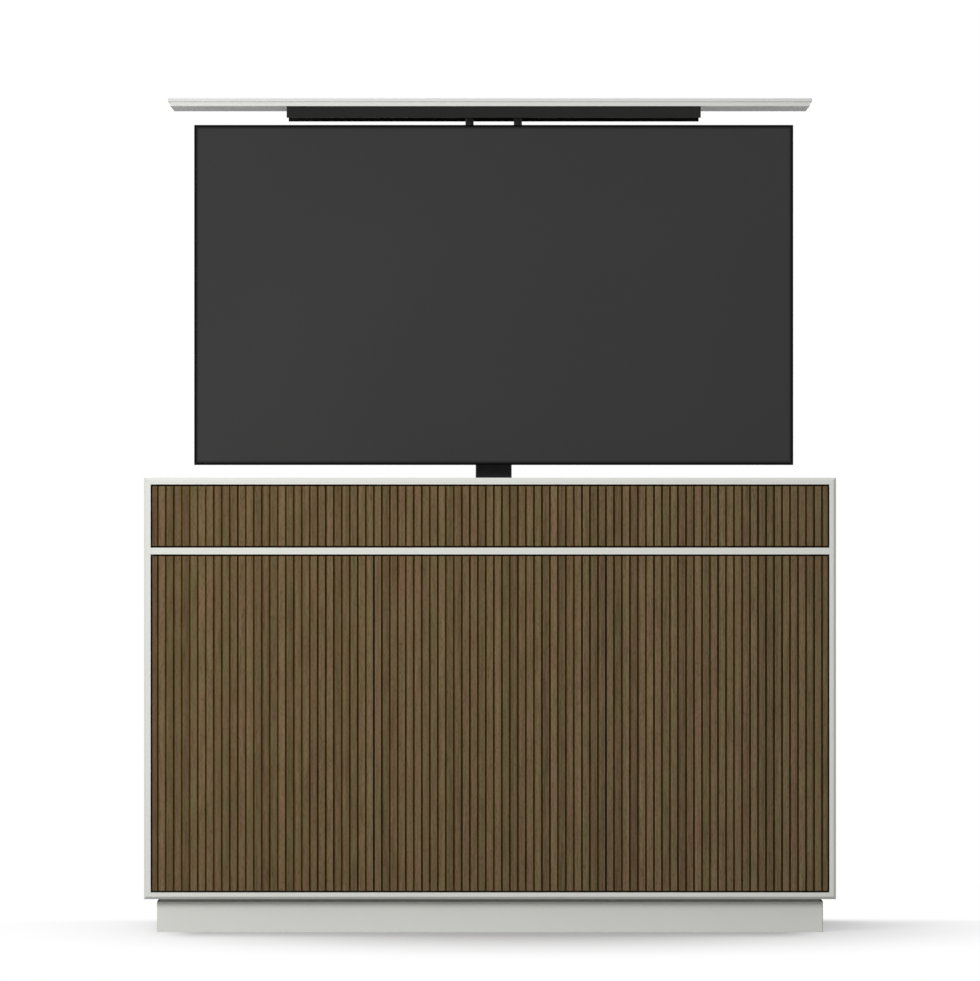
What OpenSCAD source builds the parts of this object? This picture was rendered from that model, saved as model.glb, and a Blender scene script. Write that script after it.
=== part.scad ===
// Cabinet that hides a television and raises it on a telescopic column.
// Millimetres, +Z up, +X right, front towards -Y. The origin is on the floor under the
// middle of the carcass. The model is drawn with the lift at the top of its travel.
// Modules place their pieces in cabinet coordinates, where y = 0 is the front plane.

/* [Carcass] */
// Overall width of the carcass
cab_w = 1652; // [1630:1:1720]
// Overall depth of the carcass
cab_d = 580; // [575:1:640]
// Height of the closed cabinet, plinth included
cab_h = 1086; // [1080:1:1110]
// Thickness of the lacquered boards
board_t = 16; // [15:0.5:18]
// Chamfer on the outer front edges of the frame
frame_chamfer = 6; // [2:0.5:8]
// Height of the plinth
plinth_h = 80; // [60:1:100]
// Setback of the plinth from the carcass sides and front
plinth_inset = 30; // [20:1:60]
// Height of the flap opening above the doors
flap_opening_h = 151; // [120:1:180]

/* [Fronts] */
// Distance from one slat to the next
slat_pitch = 19.1; // [17:0.1:20]
// Width of the groove between two slats
slat_groove = 4.2; // [3.4:0.1:6]
// Depth of a slat in front of its backing panel
slat_d = 8; // [5:0.5:9]
// Thickness of the backing panel
door_panel_t = 14; // [13:0.5:16]
// Whole slats on the centre door
centre_slats = 29; // [25:2:31]
// Gap between a front and the frame
reveal = 4; // [3:0.1:4]
// Gap between two doors
door_gap = 3; // [2.5:0.1:3.4]

/* [Lift] */
// Travel of the lid and screen
stroke = 921; // [800:1:921]
// Sideways offset of the lift and screen from the middle
lift_x = 9; // [-12:1:12]
// Width of the outer tube of the column
outer_w = 106; // [100:1:108]
// Depth of the outer tube of the column
outer_d = 84; // [80:1:84]
// Gap between two tubes of the column
tube_gap = 6; // [5:0.5:7]

/* [Lid] */
// Width of the lid over its lips
lid_w = 1562; // [1520:1:1570]
// Depth of the lid over its lips
lid_d = 261; // [258:1:262]
// Thickness of the lip
lip_t = 8; // [6:0.5:9]
// Overhang of the lip past the lid's body
lip_over = 5; // [4:0.5:7]
// Thickness of the lid's body under the lip
lid_body_t = 11; // [10:0.5:14]

/* [Screen] */
// Width of the television
tv_w = 1455; // [1230:1:1458]
// Height of the television
tv_h = 826; // [700:1:828]
// Depth of the television at its thickest
tv_d = 46; // [40:1:46]
// Width of the bezel
bezel_w = 3.5; // [3:0.5:8]

/* [Hidden] */
$fn = 48;
small_fn = 24;                                  // facets of pins, screws and their bores
hex_fn = 6;                                     // facets of a hexagonal head or recess
eps = 0.5;                                      // overshoot of a cut past the face it cuts

// Heights
floor_top = plinth_h + board_t;                 // top of the bottom panel
top_under = cab_h - board_t;                    // underside of the top panel
shelf_top = top_under - flap_opening_h;         // top of the shelf under the flap
shelf_under = shelf_top - board_t;              // underside of that shelf
half_in = cab_w / 2 - board_t;                  // from the middle to a side panel's face
plinth_edge = 2;                                // bevel on the plinth's upright edges
shadow_h = 7;                                   // shadow gap between the plinth and the carcass
shadow_d = 8;

// Depths
slat_front = 1;                                 // slats stand just behind the frame
panel_front = slat_front + slat_d;
panel_rear = panel_front + door_panel_t;
panel_gap = 2;                                  // air between a panel and the dividers
inner_front = panel_rear + panel_gap;
partition_t = 12;
back_t = 12;
back_front = cab_d - back_t;
lid_rear_margin = 24;
lid_rear = cab_d - lid_rear_margin;
lid_front = lid_rear - lid_d;
partition_rear = lid_front + 1;
partition_front = partition_rear - partition_t;

// Fronts
half_field = half_in - reveal;                  // from the middle to the edge of the fronts
centre_half = centre_slats * slat_pitch / 2;    // from the middle to a door seam
side_slats = floor((half_field - centre_half - slat_groove) / slat_pitch);
groove_edge = centre_half + side_slats * slat_pitch;
seam_in = centre_half - door_gap / 2;           // edge of the centre door
seam_out = centre_half + door_gap / 2;          // edge of a side door
door_z0 = floor_top + reveal;
door_z1 = shelf_under - reveal;
flap_z0 = shelf_top + reveal;
flap_z1 = top_under - reveal;
slat_arris = 0.8;                               // small bevel on a slat's front edges
divider_half = board_t / 2;

// Shelves and their pins
shelf_rise = 400;
shelf_z = floor_top + shelf_rise;
shelf_play = 1;                                 // at each end of a shelf
shelf_setback = 12;
pin_r = 2.5;
pin_fit = 0.05;
pin_deep = 7;                                   // depth of a pin hole
pin_out = 9;                                    // length of a pin under its shelf
pin_margin = 45;
pin_ys = [inner_front + pin_margin, partition_front - pin_margin];
pin_rows = 3;                                   // holes above and below the shelf
pin_pitch = 32;

// Cup hinges
cup_r = 17.5;
cup_deep = 11.5;
cup_floor = 1;
cup_wall = 2;
cup_inset = 22;                                 // from the door's edge to the cup's centre
cup_fit = 0.05;
cup_under = 0.2;                                // bore left free under a cup
wing_t = 1.2;                                   // screw wings on a cup's rim
hinge_margin = 95;                              // from a door's end to its nearest hinge
hinge_mid_rise = 80;                            // keeps the middle hinge clear of the shelf
hinge_zs = [
    door_z0 + hinge_margin, (door_z0 + door_z1) / 2 + hinge_mid_rise, door_z1 - hinge_margin
];
flap_hinge_xs = [-560, 0, 560];
inset_reach = reveal + cup_inset;               // side panel to a door's cup
overlay_reach = cup_inset + door_gap / 2 - divider_half;    // divider to the centre door's cup
plate_y = 78;                                   // middle of a mounting plate
plate_t = 2;
seat_t = 7;                                     // raised seat that the arm slides on
seat_y0 = 58;
arm_y1 = 104;                                   // rear end of a hinge arm

// Push latches
latch_drop = 130;                               // latch below the door's top
latch_z = door_z1 - latch_drop;
latch_w = 14;
latch_h = 18;
latch_y0 = 32;
latch_y1 = 92;
plunger_r = 4;
plunger_fit = 0.06;
plunger_nose = 1.5;                             // cone on the plunger's tip
plunger_tip = panel_rear + 0.5;
plunger_end = 62;
plunger_room = 5;                               // free bore behind the plunger
latch_left = [-centre_half - divider_half - latch_w / 2, latch_z];
latch_centre = [centre_half - divider_half - latch_w / 2, latch_z];
latch_right = [centre_half + divider_half + latch_w / 2, latch_z];
latch_flap = [0, top_under - latch_h / 2];

// Back
access_half = 300;                              // half the width of the access opening
access_z1 = 860;
access_gap = 1.5;                               // between the access panel and its opening
vent_rows = 8;
vent_pitch = 18;
vent_l = 110;
vent_h = 6;
vent_xs = [-630, -480, 480, 630];
vent_zs = [190, 800];
access_vent_xs = [-150, 0, 150];
access_vent_z = 640;
notch_w = 120;                                  // cable notch in the access panel's foot
notch_h = 40;
screw_r = 3.5;
screw_fit = 0.1;
screw_margin_x = 18;
screw_margin_z = 40;
screw_xs = [-access_half + screw_margin_x, access_half - screw_margin_x];
screw_zs = [floor_top + screw_margin_z, (floor_top + access_z1) / 2, access_z1 - screw_margin_z];
rail_z0 = 890;                                  // stretcher behind the column
rail_z1 = 1000;

// Column
column_y = 478;
tube_t = 3;
tube_r = 6;
step = 2 * (tube_t + tube_gap);                 // size lost from one tube to the next
middle_w = outer_w - step;
middle_d = outer_d - step;
inner_w = middle_w - step;
inner_d = middle_d - step;
base_plate_t = 6;
gearbox_z0 = floor_top + base_plate_t;
gearbox_h = 58;
outer_z0 = gearbox_z0 + gearbox_h;
outer_z1 = 1000;
middle_foot = 10;                               // feet above the outer foot, when lowered
inner_foot = 55;
middle_head = 4;                                // heads above the outer head, when lowered
inner_head = 8;
middle_z0 = outer_z0 + middle_foot + stroke / 2;
middle_z1 = outer_z1 + middle_head + stroke / 2;
inner_z0 = outer_z0 + inner_foot + stroke;
inner_z1 = outer_z1 + inner_head + stroke;
end_plate_t = 6;
glide_h = 60;
glide_clear = 0.3;
glide_corner = 12;                              // from a tube's corner to its glide pads
glide_foot = 4;
glide_mouth = 5;

// Drive screws and nuts
lower_screw_r = 8;
upper_screw_r = 15;
upper_screw_bore = 9;
drive_fit = 0.06;
screw_sink = 20;                                // length of the lower screw in the gearbox
lower_nut_r = 14;
lower_nut_h = 24;
lower_nut_flange = 5;
upper_nut_r = 20;
upper_nut_neck = 17;
upper_nut_h = 30;

// Base plate and its bolts
base_plate_w = 210;
base_plate_d = 130;
bolt_x = 90;
bolt_y = 48;
bolt_r = 4;
bolt_clear = 0.5;

// Lid and its carrier
lid_top = cab_h + stroke;
lid_t = lip_t + lid_body_t;
carrier_h = 28;
carrier_d = 190;
carrier_w = 1005;
carrier_t = 2;
carrier_lip = 8;
carrier_front = lid_front + lip_over + 3;

// Television and its mount
post_gap = 16.5;                                // from the television to the lid's carrier
tv_setback = 22;
tv_z1 = lid_top - lid_t - carrier_h - post_gap;
tv_z0 = tv_z1 - tv_h;
tv_zc = (tv_z0 + tv_z1) / 2;
tv_front = lid_front + lip_over + tv_setback;
tv_rear = tv_front + tv_d;
tv_thin = 18;                                   // depth of the screen's upper part
tv_corner = 4;
bezel_d = 12;
glass_y0 = tv_front + 0.8;
glass_t = 3;
tray_y1 = tv_front + bezel_d;                   // back of the chassis tray
tray_t = 1.2;
cover_t = 2.5;
tv_in_w = tv_w - 2 * bezel_w;
tv_in_h = tv_h - 2 * bezel_w;
vesa = 400;
boss_r = 10;
vesa_bolt_r = 4;
vesa_bolt_deep = 14;
arm_w = 30;
arm_d = 20;
arm_h = 470;
arm_t = 3;
rail_d = 12;
rail_h = 40;
rail_t = 3;
rail_flange = 8;
rail_zs = [tv_zc - 130, tv_zc + 130];
spine_front = tv_rear + arm_d + rail_d;
spine_t = 4;
spine_w = 168;
spine_z0 = tv_zc - 240;
window_zs = [tv_zc - 170, tv_zc, tv_zc + 170, tv_zc + 300];

// The television's deeper housing for its electronics
house_w = tv_w - 150;
house_z0 = tv_z0 + 16;
house_z1 = tv_zc + vesa / 2 + 36;
port_x = [-420, -280];
port_z = [tv_z0 + 70, tv_z0 + 150];
port_deep = 14;
cover_slots = 14;                               // air slots each side of the middle
cover_slot_pitch = 36;
cover_slot_drop = 60;

// Mast head and the lid's posts
head_t = 6;
post_r = 10;
post_fit = 0.08;
post_x = 59;
socket_r = 14;
socket_h = 104;
socket_z0 = inner_z1 + head_t - socket_h;
post_y = spine_front + spine_t + socket_r;

// ---------------------------------------------------------------- shared shapes

// Moves cabinet coordinates to the model's frame
module placed() translate([0, -cab_d / 2, 0]) children();

// Extrudes an (x, z) outline along +Y from y = 0
module along_y(len) translate([0, len, 0]) rotate([90, 0, 0]) linear_extrude(len) children();

// Extrudes a (y, z) outline along +X, centred on x = 0
module along_x(len) rotate([90, 0, 90]) linear_extrude(len, center = true) children();

// Box between two corners
module box(a, b) translate(a) cube(b - a);

// Rectangle with round corners, centred
module round_rect(w, d, r) {
    square([w - 2 * r, d], center = true);
    square([w, d - 2 * r], center = true);
    for (sx = [-1, 1], sy = [-1, 1])
        translate([sx * (w / 2 - r), sy * (d / 2 - r)]) circle(r);
}

// Slot with round ends, centred
module slot(len, h) {
    square([len - h, h], center = true);
    for (s = [-1, 1]) translate([s * (len - h) / 2, 0]) circle(h / 2);
}

// Screw head with a hexagonal recess over a floor of metal
module socket_head(r, h, key_r, floor_t) difference() {
    cylinder(r = r, h = h, $fn = small_fn);
    translate([0, 0, floor_t]) cylinder(r = key_r, h = h, $fn = hex_fn);
}

// Square tube of one column stage, from z0 to z1
module stage_tube(w, d, z0, z1) translate([lift_x, column_y, z0]) linear_extrude(z1 - z0)
    difference() {
        round_rect(w, d, tube_r);
        round_rect(w - 2 * tube_t, d - 2 * tube_t, tube_r - tube_t);
    }

// Plate in the foot of a stage tube, with a round hole
module foot_plate(w, d, hole_r, z0) difference() {
    translate([lift_x, column_y, z0]) linear_extrude(end_plate_t)
        square([w - 2 * tube_t, d - 2 * tube_t], center = true);
    column_rod(hole_r, z0 - eps, z0 + end_plate_t + eps);
}

// Upright cylinder on the column's axis
module column_rod(r, z0, z1) translate([lift_x, column_y, z0]) cylinder(r = r, h = z1 - z0);

// Four flat glide pads around a rectangle of w by d, standing out by t
module glide_ring(w, d, t, z0) translate([lift_x, column_y, z0]) for (s = [-1, 1]) {
    translate([-w / 2 + glide_corner, s * (d / 2 + t / 2) - t / 2, 0])
        cube([w - 2 * glide_corner, t, glide_h]);
    translate([s * (w / 2 + t / 2) - t / 2, -d / 2 + glide_corner, 0])
        cube([t, d - 2 * glide_corner, glide_h]);
}

// ---------------------------------------------------------------- carcass

// Board of the left (-1) or right (1) side, mitred to the top and bottom panels
module side_panel(s) color("gainsboro") placed() difference() {
    along_y(cab_d) polygon([
        [s * cab_w / 2, plinth_h], [s * cab_w / 2, cab_h],
        [s * half_in, top_under], [s * half_in, floor_top]
    ]);
    translate([0, 0, plinth_h - eps]) linear_extrude(cab_h - plinth_h + 2 * eps) polygon([
        [s * (cab_w / 2 + eps), -eps], [s * (cab_w / 2 - frame_chamfer - eps), -eps],
        [s * (cab_w / 2 + eps), frame_chamfer + eps]
    ]);
    pin_holes(s * half_in, s);
}

// Rows of shelf-pin holes that go into a board from its face at x, towards direction s
module pin_holes(x, s)
    for (y = pin_ys, k = [-pin_rows:pin_rows])
        translate([x - s * eps, y, shelf_z - pin_r + k * pin_pitch]) rotate([0, s * 90, 0])
            cylinder(r = pin_r + pin_fit, h = pin_deep + eps, $fn = small_fn);

// Outline of a board with 45 degree mitres: wide at z_out, narrow at z_in
module mitred_outline(z_out, z_in) polygon([
    [-cab_w / 2, z_out], [cab_w / 2, z_out], [half_in, z_in], [-half_in, z_in]
]);

// Top board with the lid's opening, rebated for the lid's lip
module top_panel() color("gainsboro") placed() {
    gap = 2;
    rebate = lip_t + 0.5;
    difference() {
        along_y(cab_d) mitred_outline(cab_h, top_under);
        along_x(cab_w + 2 * eps) polygon([
            [-eps, cab_h + eps], [frame_chamfer + eps, cab_h + eps],
            [-eps, cab_h - frame_chamfer - eps]
        ]);
        box([-lid_w / 2 - gap, lid_front - gap, cab_h - rebate],
            [lid_w / 2 + gap, lid_rear + gap, cab_h + eps]);
        box([-lid_w / 2 + lip_over - gap, lid_front + lip_over - gap, top_under - eps],
            [lid_w / 2 - lip_over + gap, lid_rear - lip_over + gap, cab_h]);
    }
}

module bottom_panel() color("gainsboro") placed() difference() {
    along_y(cab_d) mitred_outline(plinth_h, floor_top);
    along_x(cab_w + 2 * eps) polygon([
        [-eps, plinth_h - eps], [frame_chamfer + eps, plinth_h - eps],
        [-eps, plinth_h + frame_chamfer + eps]
    ]);
}

// Shelf whose front edge is the rail between the flap and the doors
module soundbar_shelf() color("gainsboro") placed()
    box([-half_in, 0, shelf_under], [half_in, partition_front, shelf_top]);

// Upright boards behind the two door seams
module dividers() color("gainsboro") placed()
    for (s = [-1, 1]) difference() {
        box([s * centre_half - divider_half, inner_front, floor_top],
            [s * centre_half + divider_half, partition_front, shelf_under]);
        pin_holes(s * centre_half + divider_half, -1);
        pin_holes(s * centre_half - divider_half, 1);
    }

// Board between the storage and the lift bay
module bay_partition() color("gainsboro") placed()
    box([-half_in, partition_front, floor_top], [half_in, partition_rear, top_under]);

// Columns and rows of air slots in an (x, z) outline
module vents(xs, z0) for (x = xs, k = [0:vent_rows - 1])
    translate([x, z0 + k * vent_pitch]) slot(vent_l, vent_h);

// Fixed back board with air slots and the opening behind the column
module back_panel() color("gainsboro") placed() translate([0, back_front, 0])
    along_y(back_t) difference() {
        translate([-half_in, floor_top]) square([2 * half_in, top_under - floor_top]);
        translate([-access_half, floor_top - eps])
            square([2 * access_half, access_z1 - floor_top + eps]);
        for (z = vent_zs) vents(vent_xs, z);
    }

// Lift-off board behind the column, with air slots and a cable notch at its foot
module back_access_panel() color("gainsboro") placed() translate([0, back_front, 0])
    along_y(back_t) difference() {
        translate([-access_half + access_gap, floor_top])
            square([2 * (access_half - access_gap), access_z1 - access_gap - floor_top]);
        vents(access_vent_xs, access_vent_z);
        translate([-notch_w / 2, floor_top - eps]) square([notch_w, notch_h + eps]);
        for (x = screw_xs, z = screw_zs)
            translate([x, z]) circle(screw_r + screw_fit, $fn = small_fn);
    }

// Screws that hold the access panel, sunk flush
module back_panel_screws() color("silver") placed()
    for (x = screw_xs, z = screw_zs) translate([x, back_front, z]) rotate([-90, 0, 0])
        socket_head(screw_r, back_t, 1.6, back_t - 2);

// Stretcher that stiffens the back and takes the column's bracket
module back_rail() color("gainsboro") placed()
    box([-half_in, back_front - partition_t, rail_z0], [half_in, back_front, rail_z1]);

// Plinth board of a given length, seen in plan, with its two outer edges bevelled
module plinth_board(len) linear_extrude(plinth_h) polygon([
    [-len / 2 + plinth_edge, 0], [len / 2 - plinth_edge, 0], [len / 2, plinth_edge],
    [len / 2, board_t], [-len / 2, board_t], [-len / 2, plinth_edge]
]);

// Plinth: front and rear boards, two ends and two cross rails, with the shadow gap cut out
module plinth_frame() color("gainsboro") placed() difference() {
    half_w = cab_w / 2 - plinth_inset;
    union() {
        translate([0, plinth_inset, 0]) plinth_board(2 * half_w);
        translate([0, cab_d, 0]) mirror([0, 1, 0]) plinth_board(2 * half_w);
        for (x = [-half_w + board_t / 2, -centre_half, centre_half, half_w - board_t / 2])
            box([x - board_t / 2, plinth_inset + board_t, 0],
                [x + board_t / 2, cab_d - board_t, plinth_h]);
    }
    translate([0, 0, plinth_h - shadow_h]) shadow_gap(half_w);
}

// Rebate along the top of the plinth's front and ends
module shadow_gap(half_w) linear_extrude(shadow_h + eps) difference() {
    translate([-half_w - eps, plinth_inset - eps])
        square([2 * (half_w + eps), cab_d - plinth_inset + 2 * eps]);
    translate([-half_w + shadow_d, plinth_inset + shadow_d])
        square([2 * (half_w - shadow_d), cab_d - plinth_inset]);
}

// One adjustable shelf in each compartment
module shelves() color("gainsboro") placed() {
    y0 = inner_front + shelf_setback;
    y1 = partition_front - 2 * shelf_play;
    for (x = [[-half_in, -centre_half - divider_half],
              [-centre_half + divider_half, centre_half - divider_half],
              [centre_half + divider_half, half_in]])
        box([x[0] + shelf_play, y0, shelf_z], [x[1] - shelf_play, y1, shelf_z + board_t]);
}

// Steel pins under the shelves' corners: each pair is a board's face and the way out of it
module shelf_pins() color("silver") placed()
    for (p = [[-half_in, 1], [-centre_half - divider_half, -1], [-centre_half + divider_half, 1],
              [centre_half - divider_half, -1], [centre_half + divider_half, 1], [half_in, -1]],
         y = pin_ys)
        translate([p[0] - p[1] * (pin_deep - 0.5), y, shelf_z - pin_r]) rotate([0, p[1] * 90, 0])
            cylinder(r = pin_r, h = pin_deep + pin_out, $fn = small_fn);

// ---------------------------------------------------------------- fronts

// One slat in plan, from x0 to x1, with bevelled front edges
module slat_outline(x0, x1) polygon([
    [x0, panel_front], [x0, slat_front + slat_arris], [x0 + slat_arris, slat_front],
    [x1 - slat_arris, slat_front], [x1, slat_front + slat_arris], [x1, panel_front]
]);

// Whole slats from x0 on, standing between z0 and z1
module slat_row(x0, count, z0, z1) color("peru") placed() translate([0, 0, z0])
    for (k = [0:count - 1]) linear_extrude(z1 - z0)
        slat_outline(x0 + k * slat_pitch + slat_groove / 2, x0 + (k + 1) * slat_pitch - slat_groove / 2);

// The narrow slat at the outer edge of the left (-1) or right (1) side
module end_slat(s, z0, z1) color("peru") placed() translate([0, 0, z0]) linear_extrude(z1 - z0) {
    inner = groove_edge + slat_groove / 2;
    slat_outline(s < 0 ? -half_field : inner, s < 0 ? -inner : half_field);
}

// Backing panel between x0 and x1
module front_panel(x0, x1, z0, z1) box([x0, panel_front, z0], [x1, panel_rear, z1]);

// Bore for a hinge cup, at its centre on the panel's rear face
module cup_bore() rotate([90, 0, 0]) translate([0, 0, -eps])
    cylinder(r = cup_r + cup_fit, h = cup_deep + cup_under + eps);

module side_door_panel(s) color("saddlebrown") placed() difference() {
    front_panel(s < 0 ? -half_field : seam_out, s < 0 ? -seam_out : half_field, door_z0, door_z1);
    for (z = hinge_zs) translate([s * (half_field - cup_inset), panel_rear, z]) cup_bore();
}

module side_door_slats(s) {
    slat_row(s < 0 ? -groove_edge : centre_half, side_slats, door_z0, door_z1);
    end_slat(s, door_z0, door_z1);
}

module door_centre_panel() color("saddlebrown") placed() difference() {
    front_panel(-seam_in, seam_in, door_z0, door_z1);
    for (z = hinge_zs) translate([-seam_in + cup_inset, panel_rear, z]) cup_bore();
}

module flap_panel() color("saddlebrown") placed() difference() {
    front_panel(-half_field, half_field, flap_z0, flap_z1);
    for (x = flap_hinge_xs) translate([x, panel_rear, flap_z0 + cup_inset]) cup_bore();
}

module flap_slats() {
    slat_row(-groove_edge, centre_slats + 2 * side_slats, flap_z0, flap_z1);
    for (s = [-1, 1]) end_slat(s, flap_z0, flap_z1);
}

// Hinge cup, centred on the panel's rear face: pressed steel bowl, screw wings and folded links
module hinge_cup() {
    rim = 2;
    wing_w = 19;
    wing_l = 60;
    wing_r = 6;
    wing_screw_z = 24;
    link = [20, 9, 3];
    link_x = -11;
    link_z = 7;
    rotate([90, 0, 0]) difference() {
        union() {
            cylinder(r = cup_r, h = cup_deep);
            translate([0, 0, -wing_t]) linear_extrude(wing_t) {
                circle(cup_r + rim);
                round_rect(wing_w, wing_l, wing_r);
            }
        }
        translate([0, 0, -wing_t - eps])
            cylinder(r = cup_r - cup_wall, h = cup_deep - cup_floor + wing_t + eps);
    }
    for (s = [-1, 1]) {
        translate([link_x, -cup_deep + cup_floor, s * link_z - link[2] / 2]) cube(link);
        translate([0, wing_t, s * wing_screw_z]) rotate([-90, 0, 0]) socket_head(3.4, 1.4, 1.4, 0.6);
    }
}

module door_cups(x) color("silver") placed()
    for (z = hinge_zs) translate([x, panel_rear, z]) hinge_cup();

module flap_cups() color("silver") placed()
    for (x = flap_hinge_xs) translate([x, panel_rear, flap_z0 + cup_inset])
        rotate([0, 90, 0]) hinge_cup();

// Mounting plate on a board: x is away from the board, y is depth, z is along the hinge axis
module hinge_plate() {
    foot_l = 52;
    foot_w = 22;
    foot_r = 5;
    seat_w = 16;
    plate_screw_z = 19;
    box([0, seat_y0, -seat_w / 2], [seat_t, arm_y1 - 2, seat_w / 2]);
    translate([0, plate_y, 0]) rotate([0, 90, 0]) linear_extrude(plate_t)
        round_rect(foot_l, foot_w, foot_r);
    for (s = [-1, 1]) translate([plate_t, plate_y, s * plate_screw_z]) rotate([0, 90, 0])
        socket_head(4, 1.6, 1.6, 0.8);
}

// Cranked arm from the plate to the cup, which stands `reach` from the board
module hinge_arm(reach) {
    width = 18;
    under = seat_t + 0.2;
    back = 14;                                  // outer face of the arm over its seat
    crank_y = 56;
    neck_y = 42;
    tip_y = panel_rear + wing_t + 1;
    tip = [reach - 10, reach + 6];
    cam_ys = [76, 94];
    translate([0, 0, -width / 2]) linear_extrude(width) polygon([
        [under, arm_y1], [under, crank_y], [tip[0] - 4, neck_y], [tip[0], tip_y], [tip[1], tip_y],
        [tip[1] - 2, neck_y + 4], [back, crank_y + 10], [back, arm_y1]
    ]);
    for (y = cam_ys) translate([back, y, 0]) rotate([0, 90, 0]) cylinder(r = 4, h = 1.5, $fn = small_fn);
}

// Puts a hinge part at each hinge: children(0) for inset fronts, children(1) for the centre door
module at_hinges() {
    for (z = hinge_zs) {
        translate([-half_in, 0, z]) children(0);
        translate([half_in, 0, z]) mirror([1, 0, 0]) children(0);
        translate([-centre_half + divider_half, 0, z]) children(1);
    }
    for (x = flap_hinge_xs) translate([x, 0, shelf_top]) rotate([0, -90, 0]) children(0);
}

module hinge_plates() color("silver") placed() at_hinges() {
    hinge_plate();
    hinge_plate();
}

module hinge_arms() color("silver") placed() at_hinges() {
    hinge_arm(inset_reach);
    hinge_arm(overlay_reach);
}

// Latch cases under the top panel and on the dividers, bored for their plungers
module latch_bodies() color("dimgray") placed()
    for (p = [latch_left, latch_centre, latch_right, latch_flap])
        translate([p[0], latch_y0, p[1]]) difference() {
            translate([-latch_w / 2, 0, -latch_h / 2]) cube([latch_w, latch_y1 - latch_y0, latch_h]);
            translate([0, -eps, 0]) rotate([-90, 0, 0])
                cylinder(r = plunger_r + plunger_fit, h = plunger_end + plunger_room - latch_y0 + eps);
        }

// Sprung plunger of the latch whose middle is at p, in x and z
module latch_plunger(p) color("lightgray") placed() translate([p[0], plunger_tip, p[1]])
    rotate([-90, 0, 0]) {
        cylinder(r1 = plunger_r - 1, r2 = plunger_r, h = plunger_nose);
        translate([0, 0, plunger_nose])
            cylinder(r = plunger_r, h = plunger_end - plunger_tip - plunger_nose);
    }

// ---------------------------------------------------------------- lift, fixed parts

module lift_base_plate() color("dimgray") placed() translate([lift_x, column_y, floor_top])
    difference() {
        linear_extrude(base_plate_t) round_rect(base_plate_w, base_plate_d, 10);
        for (sx = [-1, 1], sy = [-1, 1]) translate([sx * bolt_x, sy * bolt_y, -eps])
            cylinder(r = bolt_r + bolt_clear, h = base_plate_t + 2 * eps, $fn = small_fn);
    }

// Coach bolts with washers, which hold the base plate to the bottom panel
module anchor_bolts() color("silver") placed() translate([lift_x, column_y, floor_top]) {
    washer_t = 1.5;
    head_h = 5;
    for (sx = [-1, 1], sy = [-1, 1]) translate([sx * bolt_x, sy * bolt_y, 0]) {
        cylinder(r = bolt_r, h = base_plate_t, $fn = small_fn);
        translate([0, 0, base_plate_t]) cylinder(r = 2 * bolt_r, h = washer_t);
        translate([0, 0, base_plate_t + washer_t]) cylinder(r = 6.5, h = head_h, $fn = hex_fn);
    }
}

module lift_gearbox() color("dimgray") placed() translate([lift_x, column_y, gearbox_z0])
    difference() {
        linear_extrude(gearbox_h) round_rect(outer_w, outer_d, 8);
        translate([0, 0, gearbox_h - screw_sink])
            cylinder(r = lower_screw_r + drive_fit, h = screw_sink + eps);
    }

// Motor on the gearbox's left side: spigot, can and end cap
module lift_motor() color("dimgray") placed() {
    spigot_l = 10;
    can_l = 112;
    translate([lift_x - outer_w / 2, column_y, gearbox_z0 + gearbox_h / 2]) rotate([0, -90, 0]) {
        cylinder(r = 20, h = spigot_l);
        translate([0, 0, spigot_l]) cylinder(r = 26, h = can_l);
        translate([0, 0, spigot_l + can_l]) cylinder(r = 22, h = 8);
    }
}

module column_outer() color("dimgray") placed() stage_tube(outer_w, outer_d, outer_z0, outer_z1);

// Pads at the mouth of the outer tube
module column_glides_outer() color("white") placed()
    glide_ring(middle_w + 2 * glide_clear, middle_d + 2 * glide_clear,
               tube_gap - glide_clear, outer_z1 - glide_h - glide_mouth);

// Folded bracket from the column's back to the stretcher
module column_bracket() color("dimgray") placed() {
    z0 = 925;
    height = 50;
    sheet = 4;
    half_out = 90;
    half_top = 44;
    y0 = column_y + outer_d / 2;
    y1 = back_front - partition_t;
    translate([lift_x, 0, z0]) linear_extrude(height) polygon([
        [-half_out, y1], [-half_out, y1 - sheet], [-half_top, y1 - sheet], [-half_top, y0],
        [half_top, y0], [half_top, y1 - sheet], [half_out, y1 - sheet], [half_out, y1],
        [half_top - sheet, y1], [half_top - sheet, y0 + sheet],
        [-half_top + sheet, y0 + sheet], [-half_top + sheet, y1]
    ]);
}

// Control box with a mains inlet and two column sockets in its front
module control_box() color("dimgray") placed() {
    size = [180, 80, 38];
    inlet = [28, 16, 20];
    plug = [16, 10, 12];
    translate([300, 440, floor_top]) difference() {
        linear_extrude(size[2]) translate([size[0] / 2, size[1] / 2]) round_rect(size[0], size[1], 6);
        translate([20, -eps, 9]) cube(inlet + [0, eps, 0]);
        for (x = [80, 120]) translate([x, -eps, 12]) cube(plug + [0, eps, 0]);
    }
}

// ---------------------------------------------------------------- lift, moving parts

module lower_screw() color("silver") placed()
    column_rod(lower_screw_r, outer_z0 - screw_sink + 1, outer_z1 - 15);

module column_middle() color("dimgray") placed() {
    stage_tube(middle_w, middle_d, middle_z0, middle_z1);
    foot_plate(middle_w, middle_d, lower_nut_r, middle_z0);
}

// Pads outside the foot of the middle tube and inside its mouth
module column_glides_middle() color("white") placed() {
    glide_ring(middle_w, middle_d, tube_gap - glide_clear, middle_z0 + glide_foot);
    glide_ring(inner_w + 2 * glide_clear, inner_d + 2 * glide_clear,
               tube_gap - glide_clear, middle_z1 - glide_h - glide_mouth);
}

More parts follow.
